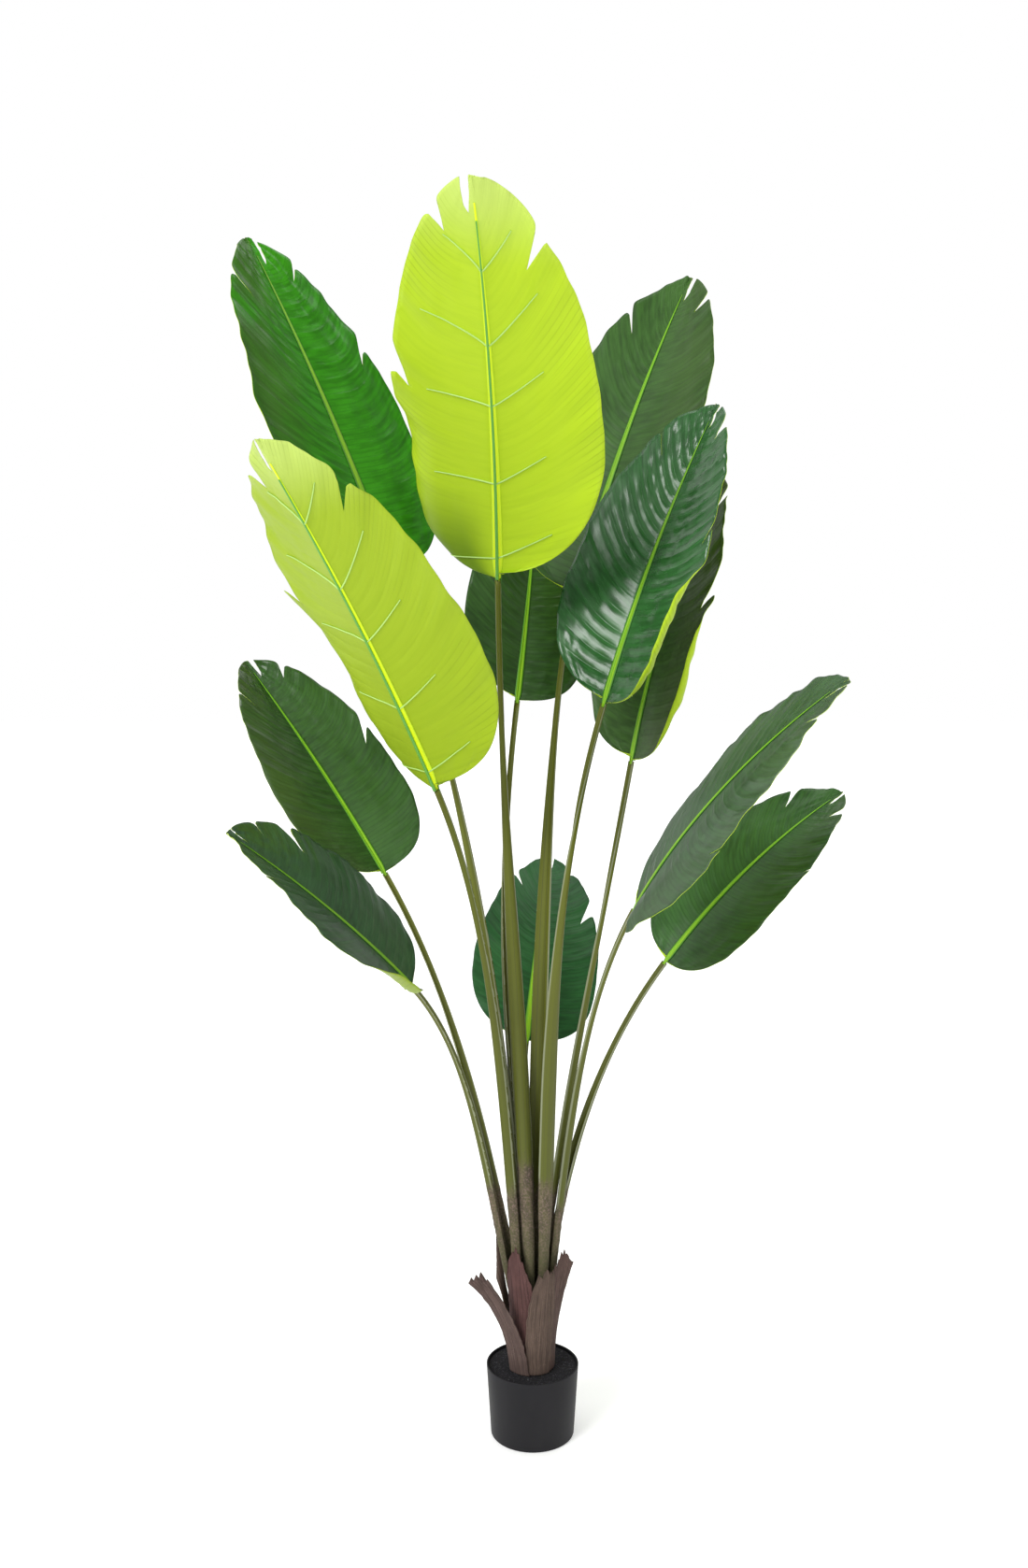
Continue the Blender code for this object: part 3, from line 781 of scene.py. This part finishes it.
def half_section(leaf, half, stations, reach, share):
    """Distance out from the rib, height above it and slope, across one half of the blade."""
    lift = math.radians(leaf.right if half.side > 0 else leaf.left)
    slope = lift - math.radians(leaf.curl) / (HALF_WIDTH * leaf.length) * reach
    for curl in CURLS.get(leaf.name, ()):
        if curl.side != half.side:
            continue
        middle = (curl.first + curl.last) / 2
        window = smooth(curl.first, between(curl.first, middle, CURL_EASE), stations)
        window = window * (1 - smooth(between(curl.last, middle, CURL_EASE), curl.last, stations))
        slope = slope + math.radians(curl.angle) * window * smooth(curl.inner, curl.outer, share)
    step = np.diff(reach, axis=1)
    middle_slope = (slope[:, 1:] + slope[:, :-1]) / 2
    start = np.zeros((len(reach), 1))
    out = np.concatenate((start, np.cumsum(np.cos(middle_slope) * step, axis=1)), axis=1)
    raised = np.concatenate((start, np.cumsum(np.sin(middle_slope) * step, axis=1)), axis=1)
    return out, raised, slope


def soft_noise(seed, count):
    """Smooth random heights from -1 to 1 over a square, as a function of two shares."""
    table = np.random.default_rng(seed).uniform(-1, 1, (count + 2, count + 2))

    def height(first, second):
        u, v = np.clip(first, 0, 1) * count, np.clip(second, 0, 1) * count
        i, j = np.floor(u).astype(int), np.floor(v).astype(int)
        a, b = smooth(0, 1, u - i), smooth(0, 1, v - j)
        low = between(table[i, j], table[i + 1, j], a)
        return between(low, between(table[i, j + 1], table[i + 1, j + 1], a), b)

    return height


def leaf_seed(leaf):
    return sum(map(ord, leaf.name)) % LEAF_SEEDS


def pleat_phase(leaf, stations):
    """How many pleats lie below these stations; their pitch wanders a little."""
    seed = leaf_seed(leaf)
    wander = sum(size * np.sin(speed * stations + part * seed) for size, speed, part in PLEAT_WANDER)
    return PLEATS * stations + wander


def relief_of(leaf, half, stations, share, across, along):
    """Height of the pressed pleats, the dents, the ruffled margin and the loose lobes."""
    seed = leaf_seed(leaf) + SIDE_SEED * (half.side > 0)
    pleat = LOOKS[leaf.name].pleat
    scale = leaf.length / LARGE
    ridge = np.abs(2 * (pleat_phase(leaf, stations) % 1.0) - 1) ** PLEAT_POWER - PLEAT_MEAN
    mean, spread = PATCH_STRENGTH
    strength = np.clip(mean + spread * soft_noise(seed, PATCHES)(stations, share), *PATCH_LIMITS)
    fade = smooth(*PLEATS_BY_RIB, share) * (1 - PLEATS_LOST * smooth(*PLEATS_BY_MARGIN, share))
    fade = fade * smooth(*PLEATS_BY_BASE, stations)
    height = MILLIMETRE * pleat * ridge * strength * fade
    dents = sum(size * soft_noise(seed + more, count)(stations, share) for more, count, size in DENTS)
    height = height + DENT * scale * dents * smooth(*DENTS_BY_RIB, share) * min(pleat, DENT_LIMIT)
    waves = (size * np.sin(math.tau * (count * stations + seed / part)) for size, count, part in RUFFLES)
    height = height + RUFFLE * scale * sum(waves) * share**RUFFLE_POWER
    for cut, gape in cuts_of(leaf, half):
        axis = (cut[1] + cut[-1]) / 2 - cut[0]
        beyond = along - cut[0].y - axis.y / axis.x * (across - cut[0].x)
        first, last = (cut[0].x + start for start in FLOP_START)
        near = np.exp(-((beyond / FLOP_REACH) ** 2)) * smooth(first, last, across)
        height = height + LOBE_FLOP * scale * min(2 * gape, 1.0) * near * np.tanh(beyond / FLOP_PARTS)
    return height


def blade_place(leaf, half, station, share):
    """Points of the blade's top, the way up from it there, and where they lie across and along."""
    margin = 1 - (1 - station) ** half.sweep
    along = between(station, margin, share**half.bow)
    across = share * half_width(half, margin)
    out, raised, slope = half_section(leaf, half, station, across * leaf.length, share)
    place, direction, right, top = rib_frame(leaf, along)
    up = top * np.cos(slope)[..., None] - right * half.side * np.sin(slope)[..., None]
    points = place + right * half.side * out[..., None] + top * raised[..., None] + direction * CLOTH_GAP
    return points + up * relief_of(leaf, half, station, share, across, along)[..., None], up, across, along


def blade_rows(leaf, stations):
    """The blade row by row from its base: its points, its flat pattern and its marks, which are
    its share across, the pleats below it and its share along."""
    shares = (np.arange(BLADE_COLUMNS + 1) / BLADE_COLUMNS) ** COLUMN_POWER
    sides = []
    for half in HALVES:
        share = shares[None, :] + 0 * stations[:, None]
        station = stations[:, None] + 0 * share
        points, up, across, along = blade_place(leaf, half, station, share)
        flat = np.stack((half.side * across, along, 0 * share), axis=-1)
        mark = np.stack((half.side * share, pleat_phase(leaf, station), along), axis=-1)
        sides.append((points, flat, mark))
    return [np.concatenate((left[:, :0:-1], right), axis=1).reshape(-1, 3) for left, right in zip(*sides)]


def blade_stations(leaf):
    """Rows on the ridges and between them, and closer ones at the base and the tip."""
    fine = np.linspace(0.0, 1.0, STATION_SAMPLES)
    wanted = (np.arange(-1, PLEATS + 2)[:, None] + np.array(PLEAT_ROWS)[None, :]).ravel()
    phase = pleat_phase(leaf, fine)
    rows = np.interp(wanted[(wanted > phase[0]) & (wanted < phase[-1])], phase, fine)
    base = np.linspace(0.0, BASE_ROWS_TO, END_ROWS)
    tip = np.linspace(TIP_ROWS_FROM, 1.0, END_ROWS)
    stations = np.sort(np.concatenate((rows, base, tip)))
    return stations[np.concatenate(([True], np.diff(stations) > CLOSEST_ROWS))]


def cut_away(bm, corners):
    """Cuts a convex hole with these corners out of the flat blade."""
    middle = sum(corners, Vector()) / len(corners)
    reach = max((corner - middle).length for corner in corners)
    planes = []
    for first, second in zip(corners, corners[1:] + corners[:1]):
        outward = Vector((second.y - first.y, first.x - second.x, 0)).normalized()
        if outward.dot(middle - first) > 0:
            outward = -outward
        planes.append((first, outward))
    for point, outward in planes:
        near = [face for face in bm.faces if (face.calc_center_median() - middle).length < reach + CUT_NEAR]
        geometry = near + list({edge for face in near for edge in face.edges})
        geometry += list({vertex for face in near for vertex in face.verts})
        bmesh.ops.bisect_plane(bm, geom=geometry, dist=WELD, plane_co=point, plane_no=outward)
    gone = [
        face for face in bm.faces
        if all((face.calc_center_median() - point).dot(outward) < 0 for point, outward in planes)
    ]
    bmesh.ops.delete(bm, geom=gone, context="FACES")
    bmesh.ops.delete(bm, geom=[vertex for vertex in bm.verts if not vertex.link_faces], context="VERTS")


def lobe_edge(bm, corners):
    """The vertices of the outline on both sides of a tear, from a third of its depth outwards."""
    axis = (corners[len(corners) // 2] + corners[len(corners) // 2 + 1]) / 2 - corners[0]
    found = []
    for vertex in bm.verts:
        if vertex.is_boundary:
            depth = (vertex.co - corners[0]).dot(axis) / axis.length_squared
            beside = (vertex.co - corners[0] - axis * depth).length
            if depth > LOBE_START and beside < LOBE_REACH + LOBE_SPREAD * axis.length:
                found.append(vertex)
    return found


def blade_mesh(name, leaf):
    """The blade: a flat sheet torn along its cuts, then pressed into its pleats and curves."""
    stations = blade_stations(leaf)
    bm = bmesh.new()
    place = bm.verts.layers.float_vector.new("place")
    mark = bm.verts.layers.float_vector.new("mark")
    for point, spot, shares in zip(*blade_rows(leaf, stations)):
        vertex = bm.verts.new(spot)
        vertex[place] = point
        vertex[mark] = shares
    grid_faces(bm, len(stations), 2 * BLADE_COLUMNS + 1)
    cuts = [
        [Vector((half.side * corner.x, corner.y, 0)) for corner in cut]
        for half in HALVES for cut, _ in cuts_of(leaf, half)
    ]
    for cut in cuts:
        cut_away(bm, cut)
    soft = {vertex for cut in cuts for vertex in lobe_edge(bm, cut)}
    for vertex in bm.verts:
        vertex.co = vertex[place]
    for _ in range(LOBE_ROUNDS):
        moved = {}
        for vertex in soft:
            beside = [edge.other_vert(vertex).co for edge in vertex.link_edges if edge.is_boundary]
            moved[vertex] = vertex.co * 0.5 + sum(beside, Vector()) / len(beside) * 0.5
        for vertex, spot in moved.items():
            vertex.co = spot
    bm.verts.layers.float_vector.remove(place)
    return smooth_mesh(name, bm)


def crease_lines(finish, phase):
    """Fine crossways creases between the pleats, as a wave from -1 to 1."""
    turn = phase * (CREASES * math.tau)
    return turn.maths("SINE", turn)


def top_finish(leaf, look):
    """The upper print: deep green with darker veins, darker and browner in patches on one half, with
    painted shade in its fine creases and a soft gloss.
    """
    finish = Finish("leaf_" + leaf.name, specular_ior_level=look.shine)
    across, phase = finish.parts(finish.mark())[:2]
    dark = tuple(VEIN_AND_CREASE_SHADE_DARK * part for part in look.top)
    light = tuple(part * times + plus for part, (times, plus) in zip(look.top, CLOUD_LIGHT))
    veins = finish.grain(finish.mark(TOP_VEINS), detail=3.0)
    clouds = finish.grain(finish.place(), TOP_CLOUDS, detail=3.0)
    lines = crease_lines(finish, phase)
    body = finish.mix(veins.ramp(0.30, 0.70), dark, look.top)
    body = finish.mix(clouds.ramp(0.40, 0.75) * 0.55, body, light)
    # Painted shade darkens the fine creases in cloudy patches
    body = finish.mix(lines.ramp(0.55, 1.0) * clouds.ramp(0.35, 0.6) * 0.45, body, dark)
    if look.brown:
        brown_patches = (across * look.brown_side).ramp(-0.05, 0.9) * (look.brown * clouds.ramp(0.2, 0.6))
        body = finish.mix(brown_patches, body, BROWN)
    finish.set(base_color=body)
    finish.set(roughness=look.rough - 0.06 + 0.12 * clouds + 0.08 * veins)
    finish.relief(veins - 0.12 * lines, PRINT_DEPTH, 0.5)
    return finish


def underside_finish(name, shade, base):
    """The lower print: pale lime, paler at the tip, with fine creases; painted shade darkens the creases
    and some leaves' undersides, and painted shadow deepens the base.
    """
    finish = Finish(name, roughness=0.50, specular_ior_level=0.3)
    # Painted shade darkens the whole underside of some leaves
    pale = tuple(shade * part for part in PALE)
    deep = tuple(shade * part for part in PALE_DEEP)
    across, phase, along = finish.parts(finish.mark())
    veins = finish.grain(finish.mark(UNDER_VEINS), detail=3.0)
    clouds = finish.grain(finish.place(), UNDER_CLOUDS, detail=2.0)
    lines = crease_lines(finish, phase)
    creased = lines.ramp(0.75, 1.0) * abs(across).ramp(0.25, 1.0) * clouds.ramp(0.35, 0.60)
    body = finish.mix(0.65 + 0.35 * veins.ramp(0.30, 0.60), deep, pale)
    body = finish.mix(clouds.ramp(0.55, 0.80) * 0.15, body, deep)
    # Painted shadow deepens the base of the half on the right of the rib
    body = finish.mix(along.ramp(0.27, 0.02) * across.ramp(-0.05, 0.45) * base, body, BASE_SHADOW_COLOUR)
    body = finish.mix(along.ramp(0.78, 1.0) * 0.8, body, PALE_TIP)
    # Painted shade darkens the fine creases towards the margins
    body = finish.mix(creased * 0.4, body, tuple(CREASE_SHADE_DARK * part for part in deep))
    finish.set(base_color=body)
    finish.relief(0.2 * veins - 0.35 * creased, PRINT_DEPTH, 0.5)
    return finish


for leaf in LEAVES:
    name = "blade_" + leaf.name
    painted_shades = (UNDER_PAINTED_SHADES.get(leaf.name, 1.0), BASE_SHADOW_STRENGTHS.get(leaf.name, BASE_SHADOW_STRENGTH))
    finishes = [top_finish(leaf, LOOKS[leaf.name]), underside_finish("under_" + leaf.name, *painted_shades)]
    blade = finished(name, blade_mesh(name, leaf), finishes, "leaf", "leaf_" + leaf.name)
    cloth = blade.modifiers.new("Cloth", "SOLIDIFY")
    cloth.thickness = CLOTH
    cloth.offset = -1.0
    cloth.material_offset = 1
    cloth.material_offset_rim = 1

# Ribs: a soft lime strip moulded along the top of each blade, widest at the stem and drawn out
# to a hair short of the tip, and the bright hollow of its back along the underside.

RIB_ROWS = 80
RIB_COLUMNS = 9
RIB_HALF = 0.0091
RIB_RISE = 0.0028
RIB_OVER = 0.0010
RIB_START = -0.010
RIB_END = 0.94
RIB_TIP = 0.0010
RIB_TAPER = 0.85
# The rib's half width where it begins, as a share of the full one, and how soon it is full
RIB_NECK = 0.55
RIB_NECK_LENGTH = 0.05
RIB_THICKNESS = 0.0005
BACK_HALF = 0.0085
BACK_RISE = -0.0006
BACK_UNDER = 0.0006
BACK_START = 0.006
RIB_LIME = (0.190, 0.470, 0.010)
RIB_YELLOW = (0.360, 0.560, 0.014)
RIB_EDGE = (0.040, 0.180, 0.008)
BACK_YELLOW = (0.760, 0.900, 0.006)
BACK_GREEN = (0.540, 0.760, 0.010)
RIB_STREAKS = (7.0, 5.0, 1.0)


def on_blade(leaf, side, along, reach, height):
    """Points at these distances from the rib, and at this height over the blade."""
    lift = math.radians(leaf.right if side > 0 else leaf.left)
    bend = math.radians(leaf.curl) / (HALF_WIDTH * leaf.length)
    slope = lift - bend * reach
    out = (math.sin(lift) - np.sin(slope)) / bend
    raised = (np.cos(slope) - math.cos(lift)) / bend
    place, direction, right, top = rib_frame(leaf, along)
    normal = top * np.cos(slope)[..., None] - right * side * np.sin(slope)[..., None]
    return place + right * side * out[..., None] + top * raised[..., None] + normal * height[..., None]


def rib_places(leaf, half, rise, over, start):
    """Rows of a shallow arch that lies in the fold of the blade, above it or below."""
    along = np.linspace(start, RIB_END, RIB_ROWS)[:, None]
    across = np.linspace(-1.0, 1.0, RIB_COLUMNS)[None, :]
    shrink = leaf.length / LARGE
    wide = half * shrink * (1 - np.clip(along / RIB_END, 0, 1)) ** RIB_TAPER + RIB_TIP
    wide = wide * between(RIB_NECK, 1.0, smooth(start, start + RIB_NECK_LENGTH, along))
    arch = rise * (wide / half) * (1 - across**2) + over
    left = on_blade(leaf, -1, along + 0 * across, np.abs(across) * wide, arch)
    right = on_blade(leaf, 1, along + 0 * across, np.abs(across) * wide, arch)
    return np.where((across < 0)[..., None], left, right)


def rib_finish(name, middle, streak, edge):
    """Moulded lime plastic, darker at its two edges and streaked along its length."""
    finish = Finish(name, roughness=0.42, specular_ior_level=0.35)
    across, along = finish.parts(finish.mark())[:2]
    sides = (abs(across - 0.5) * 2).ramp(0.35, 1.0)
    streaks = finish.grain(finish.mark(RIB_STREAKS))
    body = finish.mix(streaks.ramp(0.40, 0.70) * (1 - 0.7 * along), middle, streak)
    finish.set(base_color=finish.mix(sides, body, edge))
    return finish


top_rib = rib_finish("rib_top", RIB_LIME, RIB_YELLOW, RIB_EDGE)
back_rib = rib_finish("rib_back", BACK_YELLOW, BACK_YELLOW, BACK_GREEN)
for leaf in LEAVES:
    for kind, finish, half, rise, over, start in (
        ("rib_", top_rib, RIB_HALF, RIB_RISE, RIB_OVER, RIB_START),
        ("hollow_", back_rib, BACK_HALF, BACK_RISE, -CLOTH - BACK_UNDER, BACK_START),
    ):
        name = kind + leaf.name
        mesh = grid_mesh(name, rib_places(leaf, half, rise, over, start))
        rib = finished(name, mesh, [finish], "leaf", "leaf_" + leaf.name)
        strip = rib.modifiers.new("Strip", "SOLIDIFY")
        strip.thickness = RIB_THICKNESS
        strip.offset = -math.copysign(1.0, over)

# Supports: a green plastic rod glued under each rib, with five pairs of thin wires that hold the
# cloth out; the rod stops short of the tip.

ROD_RADIUS = 0.0027
ROD_TIP = 0.45
ROD_START = 0.004
ROD_END = 0.90
ROD_POINTS = 40
WIRE_RADIUS = 0.0014
WIRE_TIP = 0.6
WIRE_SUNK = 0.7
WIRE_POINTS = 14
WIRE_STEPS = 12
SUPPORT_ROUND = 2
VEIN_ROUNDS = 25
# Each pair: station on the rib, then end station and reach of the left wire and of the right one
WIRES = (
    (0.060, 0.132, 0.136, 0.036, 0.139),
    (0.256, 0.334, 0.123, 0.256, 0.166),
    (0.455, 0.546, 0.122, 0.466, 0.169),
    (0.604, 0.734, 0.117, 0.662, 0.165),
    (0.783, 0.872, 0.069, 0.850, 0.086),
)
# How each side's wires bow: below 1 they leave the rib steeply and flatten out
WIRE_BOWS = (1.15, 0.80)
ROD_GREEN = (0.120, 0.370, 0.050)
WIRE_GREEN = (0.420, 0.640, 0.160)


def support_curve(name, radius, lines):
    """A curve of several lines, each a list of (place, share of the full radius)."""
    curve = bpy.data.curves.new(name, "CURVE")
    curve.dimensions = "3D"
    curve.bevel_depth = radius
    curve.bevel_resolution = SUPPORT_ROUND
    curve.use_fill_caps = True
    for line in lines:
        spline = curve.splines.new("POLY")
        spline.points.add(len(line) - 1)
        for point, (place, thick) in zip(spline.points, line):
            point.co = (*place, 1.0)
            point.radius = thick
    return curve


def vein_at(half, along, across):
    """The station and the share whose point lies this far along the rib and across from it."""
    station = along
    for _ in range(VEIN_ROUNDS):
        margin = 1 - (1 - station) ** half.sweep
        share = np.clip(across / half_width(half, margin), 0.0, 1.0)
        station = np.clip(along - (margin - station) * share**half.bow, 0.0, 1.0)
    return station, share


def wire_line(leaf, half, bow, start, end, reach):
    """One wire, lying just under the cloth from the rib outwards."""
    step = np.linspace(0.0, 1.0, WIRE_POINTS)
    station, share = vein_at(half, start + (end - start) * step**bow, reach * step)
    shares = share[:, None] * np.linspace(0.0, 1.0, WIRE_STEPS)[None, :]
    points, up = blade_place(leaf, half, station[:, None] + 0 * shares, shares)[:2]
    places = points[:, -1] - up[:, -1] * (CLOTH + WIRE_SUNK * WIRE_RADIUS)
    return [(place, between(1.0, WIRE_TIP, part)) for place, part in zip(places, step)]


rod_finish = Finish("rod_green", base_color=ROD_GREEN, roughness=0.4)
wire_finish = Finish("wire_green", base_color=WIRE_GREEN, roughness=0.35)
for leaf in LEAVES:
    place, _, _, top = rib_frame(leaf, np.linspace(ROD_START, ROD_END, ROD_POINTS))
    rod_line = []
    for spot, side, share in zip(place, top, np.linspace(0.0, 1.0, ROD_POINTS)):
        thick = between(1.0, ROD_TIP, share)
        rod_line.append((spot - side * (thick * ROD_RADIUS + CLOTH), thick))
    rod_curve = support_curve("rod_" + leaf.name, ROD_RADIUS, [rod_line])
    finished("rod_" + leaf.name, rod_curve, [rod_finish], "leaf", "leaf_" + leaf.name)
    wire_lines = []
    for start, left_end, left_reach, right_end, right_reach in WIRES:
        wire_lines.append(wire_line(leaf, HALVES[0], WIRE_BOWS[0], start, left_end, left_reach))
        wire_lines.append(wire_line(leaf, HALVES[1], WIRE_BOWS[1], start, right_end, right_reach))
    wire_curve = support_curve("wires_" + leaf.name, WIRE_RADIUS, wire_lines)
    finished("wires_" + leaf.name, wire_curve, [wire_finish], "leaf", "leaf_" + leaf.name)

# Stems: olive plastic channels on steel wire, broad below and slender at the leaf, with a painted
# highlight along the lips of the groove and a coat of mottled bark paint over the foot.

INNER_RING = 0.0112
OUTER_RING = 0.0265
STEM_NECK = 0.0100
STEM_NECK_DEPTH = 0.0085
STEM_BELLY_DEPTH = 0.0125
STEM_FOOT = 0.0165
INNER_STEM_FOOT = 0.0100
STEM_FOOT_DEPTH = 0.0095
STEM_GROOVE = 0.42
BELLY_ENDS = (0.36, 0.80)
FOOT_ENDS = (0.02, 0.26)
LEVEL_FOOT = (0.0, 0.10)
GROOVE_TURNS = (0.60, 1.0)
FOOT_HANDLE = 0.35
STEM_RINGS = 110
OUTER_ARC = 18
GROOVE_SPOTS = (0.93, 0.80, 0.60, 0.30, 0.0, -0.30, -0.60, -0.80, -0.93)
LIP = 0.93
LIP_MIDDLE = 0.3215
BARK_CRUST = 0.0009
# The crust's lumps in two sizes: share of the height, and how many to a metre
BARK_LUMPS = ((1.0, 260), (0.6, 620))
# Half of the height over which the crust ends, and of the one over which its colour does
CRUST_END = 0.015
PAINT_END = 0.02
# Each stem: radius and heading of its foot, greatest width, how far it leans out there, how long it
# keeps the rib's direction under the leaf, and the height where the bark paint ends
Stem = namedtuple("Stem", "ring foot_turn belly lean neck painted")
STEMS = {
    "top": Stem(OUTER_RING, -98, 0.029, 0.55, 0.35, 0.485),
    "upper_left": Stem(INNER_RING, 212, 0.028, 0.55, 0.35, 0.440),
    "upper_right": Stem(INNER_RING, 62, 0.030, 0.10, 0.15, 0.430),
    "front_left": Stem(OUTER_RING, -143, 0.020, 0.55, 0.35, 0.440),
    "front_right": Stem(OUTER_RING, -53, 0.030, 0.55, 0.35, 0.462),
    "back": Stem(INNER_RING, 138, 0.0145, 0.55, 0.50, 0.450),
    "right": Stem(INNER_RING, -14, 0.016, 0.55, 0.35, 0.430),
    "left": Stem(OUTER_RING, 127, 0.016, 0.80, 0.35, 0.440),
    "low_left": Stem(OUTER_RING, 172, 0.014, 0.80, 0.35, 0.445),
    "mid_right": Stem(OUTER_RING, -8, 0.019, 0.55, 0.35, 0.410),
    "low_right": Stem(OUTER_RING, 37, 0.015, 0.35, 0.35, 0.430),
    "low_back": Stem(OUTER_RING, 82, 0.016, 0.55, 0.35, 0.420),
}
OLIVE = (0.115, 0.131, 0.008)
OLIVE_LOW = (0.079, 0.091, 0.008)
OLIVE_DARK = (0.060, 0.064, 0.016)
LIP_HIGHLIGHT = (0.300, 0.320, 0.220)
BARK_KHAKI = (0.120, 0.098, 0.056)
BARK_BROWN = (0.080, 0.060, 0.044)
BARK_GREEN = (0.060, 0.064, 0.024)
BARK_PINK = (0.158, 0.114, 0.088)
STEM_RIDGES = (46.0, 1.2, 0.0)
BARK_SPOTS = 300.0
BARK_BLOTCH_STRETCH = (1.0, 1.0, 0.4)
BARK_BLOTCHES = 90.0
# How far the spots and the blotches move the line where the paint ends
PAINT_RAGGED = (0.04, 0.05)
# Widths over which the painted highlight on the lips fades
LIP_EDGE = (0.045, 0.085)
STEM_DEPTH = 0.0010


def stem_point(leaf, stem, share):
    """Place and direction on the stem's curve, which runs on into the leaf's rib."""
    foot = level(stem.foot_turn) * stem.ring + Vector((0, 0, TRUNK_TOP + CLOTH_GAP))
    tip = Vector(leaf.tip)
    way = tip - foot
    start = Vector((way.x * stem.lean, way.y * stem.lean, way.z)).normalized()
    end = Vector(rib_frame(leaf, np.array(0.0))[1])
    points = (foot, foot + start * way.length * FOOT_HANDLE, tip - end * way.length * stem.neck, tip)
    rest = 1 - share
    place = Vector((0, 0, 0))
    for weight, point in zip((rest**3, 3 * rest**2 * share, 3 * rest * share**2, share**3), points):
        place += point * weight
    direction = Vector((0, 0, 0))
    steps = zip((rest**2, 2 * rest * share, share**2), points, points[1:])
    for weight, first, second in steps:
        direction += (second - first) * weight
    return place, direction.normalized()


def stem_ring(leaf, stem, share):
    """One ring of the channel: a rounded back, two lips and the groove, with the bark's crust."""
    place, direction = stem_point(leaf, stem, share)
    direction = between(Vector((0, 0, 1)), direction, float(smooth(*LEVEL_FOOT, share))).normalized()
    rib_top = Vector(rib_frame(leaf, np.array(0.0))[3])
    facing = between(-level(stem.foot_turn), rib_top, float(smooth(*GROOVE_TURNS, share)))
    top = (facing - direction * facing.dot(direction)).normalized()
    right = direction.cross(top)
    slim = float(smooth(*BELLY_ENDS, share))
    grown = float(smooth(*FOOT_ENDS, share))
    foot_width = min(STEM_FOOT if stem.ring == OUTER_RING else INNER_STEM_FOOT, stem.belly)
    width = between(foot_width, between(stem.belly, STEM_NECK, slim), grown)
    depth = between(STEM_FOOT_DEPTH, between(STEM_BELLY_DEPTH, STEM_NECK_DEPTH, slim), grown)
    lip = place + top * depth / 2
    painted = 1 - float(smooth(stem.painted - CRUST_END, stem.painted + CRUST_END, place.z))
    corners = []
    for step in range(OUTER_ARC + 1):
        angle = math.pi * step / OUTER_ARC
        outward = -right * math.cos(angle) - top * math.sin(angle)
        spot = lip - right * math.cos(angle) * width / 2 - top * math.sin(angle) * depth
        lumps = sum(size * noise.noise(spot * count) for size, count in BARK_LUMPS)
        corners.append(spot + outward * BARK_CRUST * painted * lumps)
    for spot in GROOVE_SPOTS:
        sunk = STEM_GROOVE * depth * max(1 - (spot / LIP) ** 2, 0.0)
        corners.append(lip + right * spot * width / 2 - top * sunk)
    return corners


def stem_finish(leaf, stem):
    """Olive plastic with long ridges and a painted highlight on its lips, and bark paint below its own
    ragged line.
    """
    finish = Finish("stem_" + leaf.name, specular_ior_level=0.3)
    height = finish.parts(finish.place())[2]
    across = finish.parts(finish.mark())[0]
    ridges = finish.grain(finish.mark(STEM_RIDGES), detail=3.0)
    spots = finish.grain(finish.place(), BARK_SPOTS, detail=6.0)
    blotches = finish.grain(finish.place(BARK_BLOTCH_STRETCH), BARK_BLOTCHES)
    olive = finish.mix(height.ramp(0.45, 1.15), OLIVE_LOW, OLIVE)
    olive = finish.mix(ridges.ramp(0.45, 0.72) * 0.75, olive, OLIVE_DARK)
    # Painted highlight along the two lips of the groove
    lips = 1 - abs(abs(across - LIP_MIDDLE) - LIP_MIDDLE).ramp(*LIP_EDGE)
    olive = finish.mix(lips * 0.6, olive, LIP_HIGHLIGHT)
    bark = finish.mix(blotches.ramp(0.30, 0.70), BARK_BROWN, BARK_KHAKI)
    bark = finish.mix(spots.ramp(0.50, 0.66), bark, BARK_PINK)
    bark = finish.mix(spots.ramp(0.55, 0.30) * 0.7, bark, BARK_GREEN)
    bark = finish.mix(height.ramp(0.42, 0.28) * 0.6, bark, BARK_GREEN)
    line = height + PAINT_RAGGED[0] * (spots - 0.5) + PAINT_RAGGED[1] * (blotches - 0.5)
    painted = 1 - line.ramp(stem.painted - PAINT_END, stem.painted + PAINT_END)
    finish.set(base_color=finish.mix(painted, olive, bark))
    finish.set(roughness=0.42 + 0.10 * ridges + 0.38 * painted)
    finish.relief(0.5 * ridges + painted * (spots + blotches), STEM_DEPTH, 0.7)
    return finish


for leaf in LEAVES:
    stem = STEMS[leaf.name]
    rings = [stem_ring(leaf, stem, step / (STEM_RINGS - 1)) for step in range(STEM_RINGS)]
    rings = [ring + ring[:1] for ring in rings]
    name = "channel_" + leaf.name
    mesh = grid_mesh(name, rings, closed=True)
    finished(name, mesh, [stem_finish(leaf, stem)], "stem", "stem_" + leaf.name)
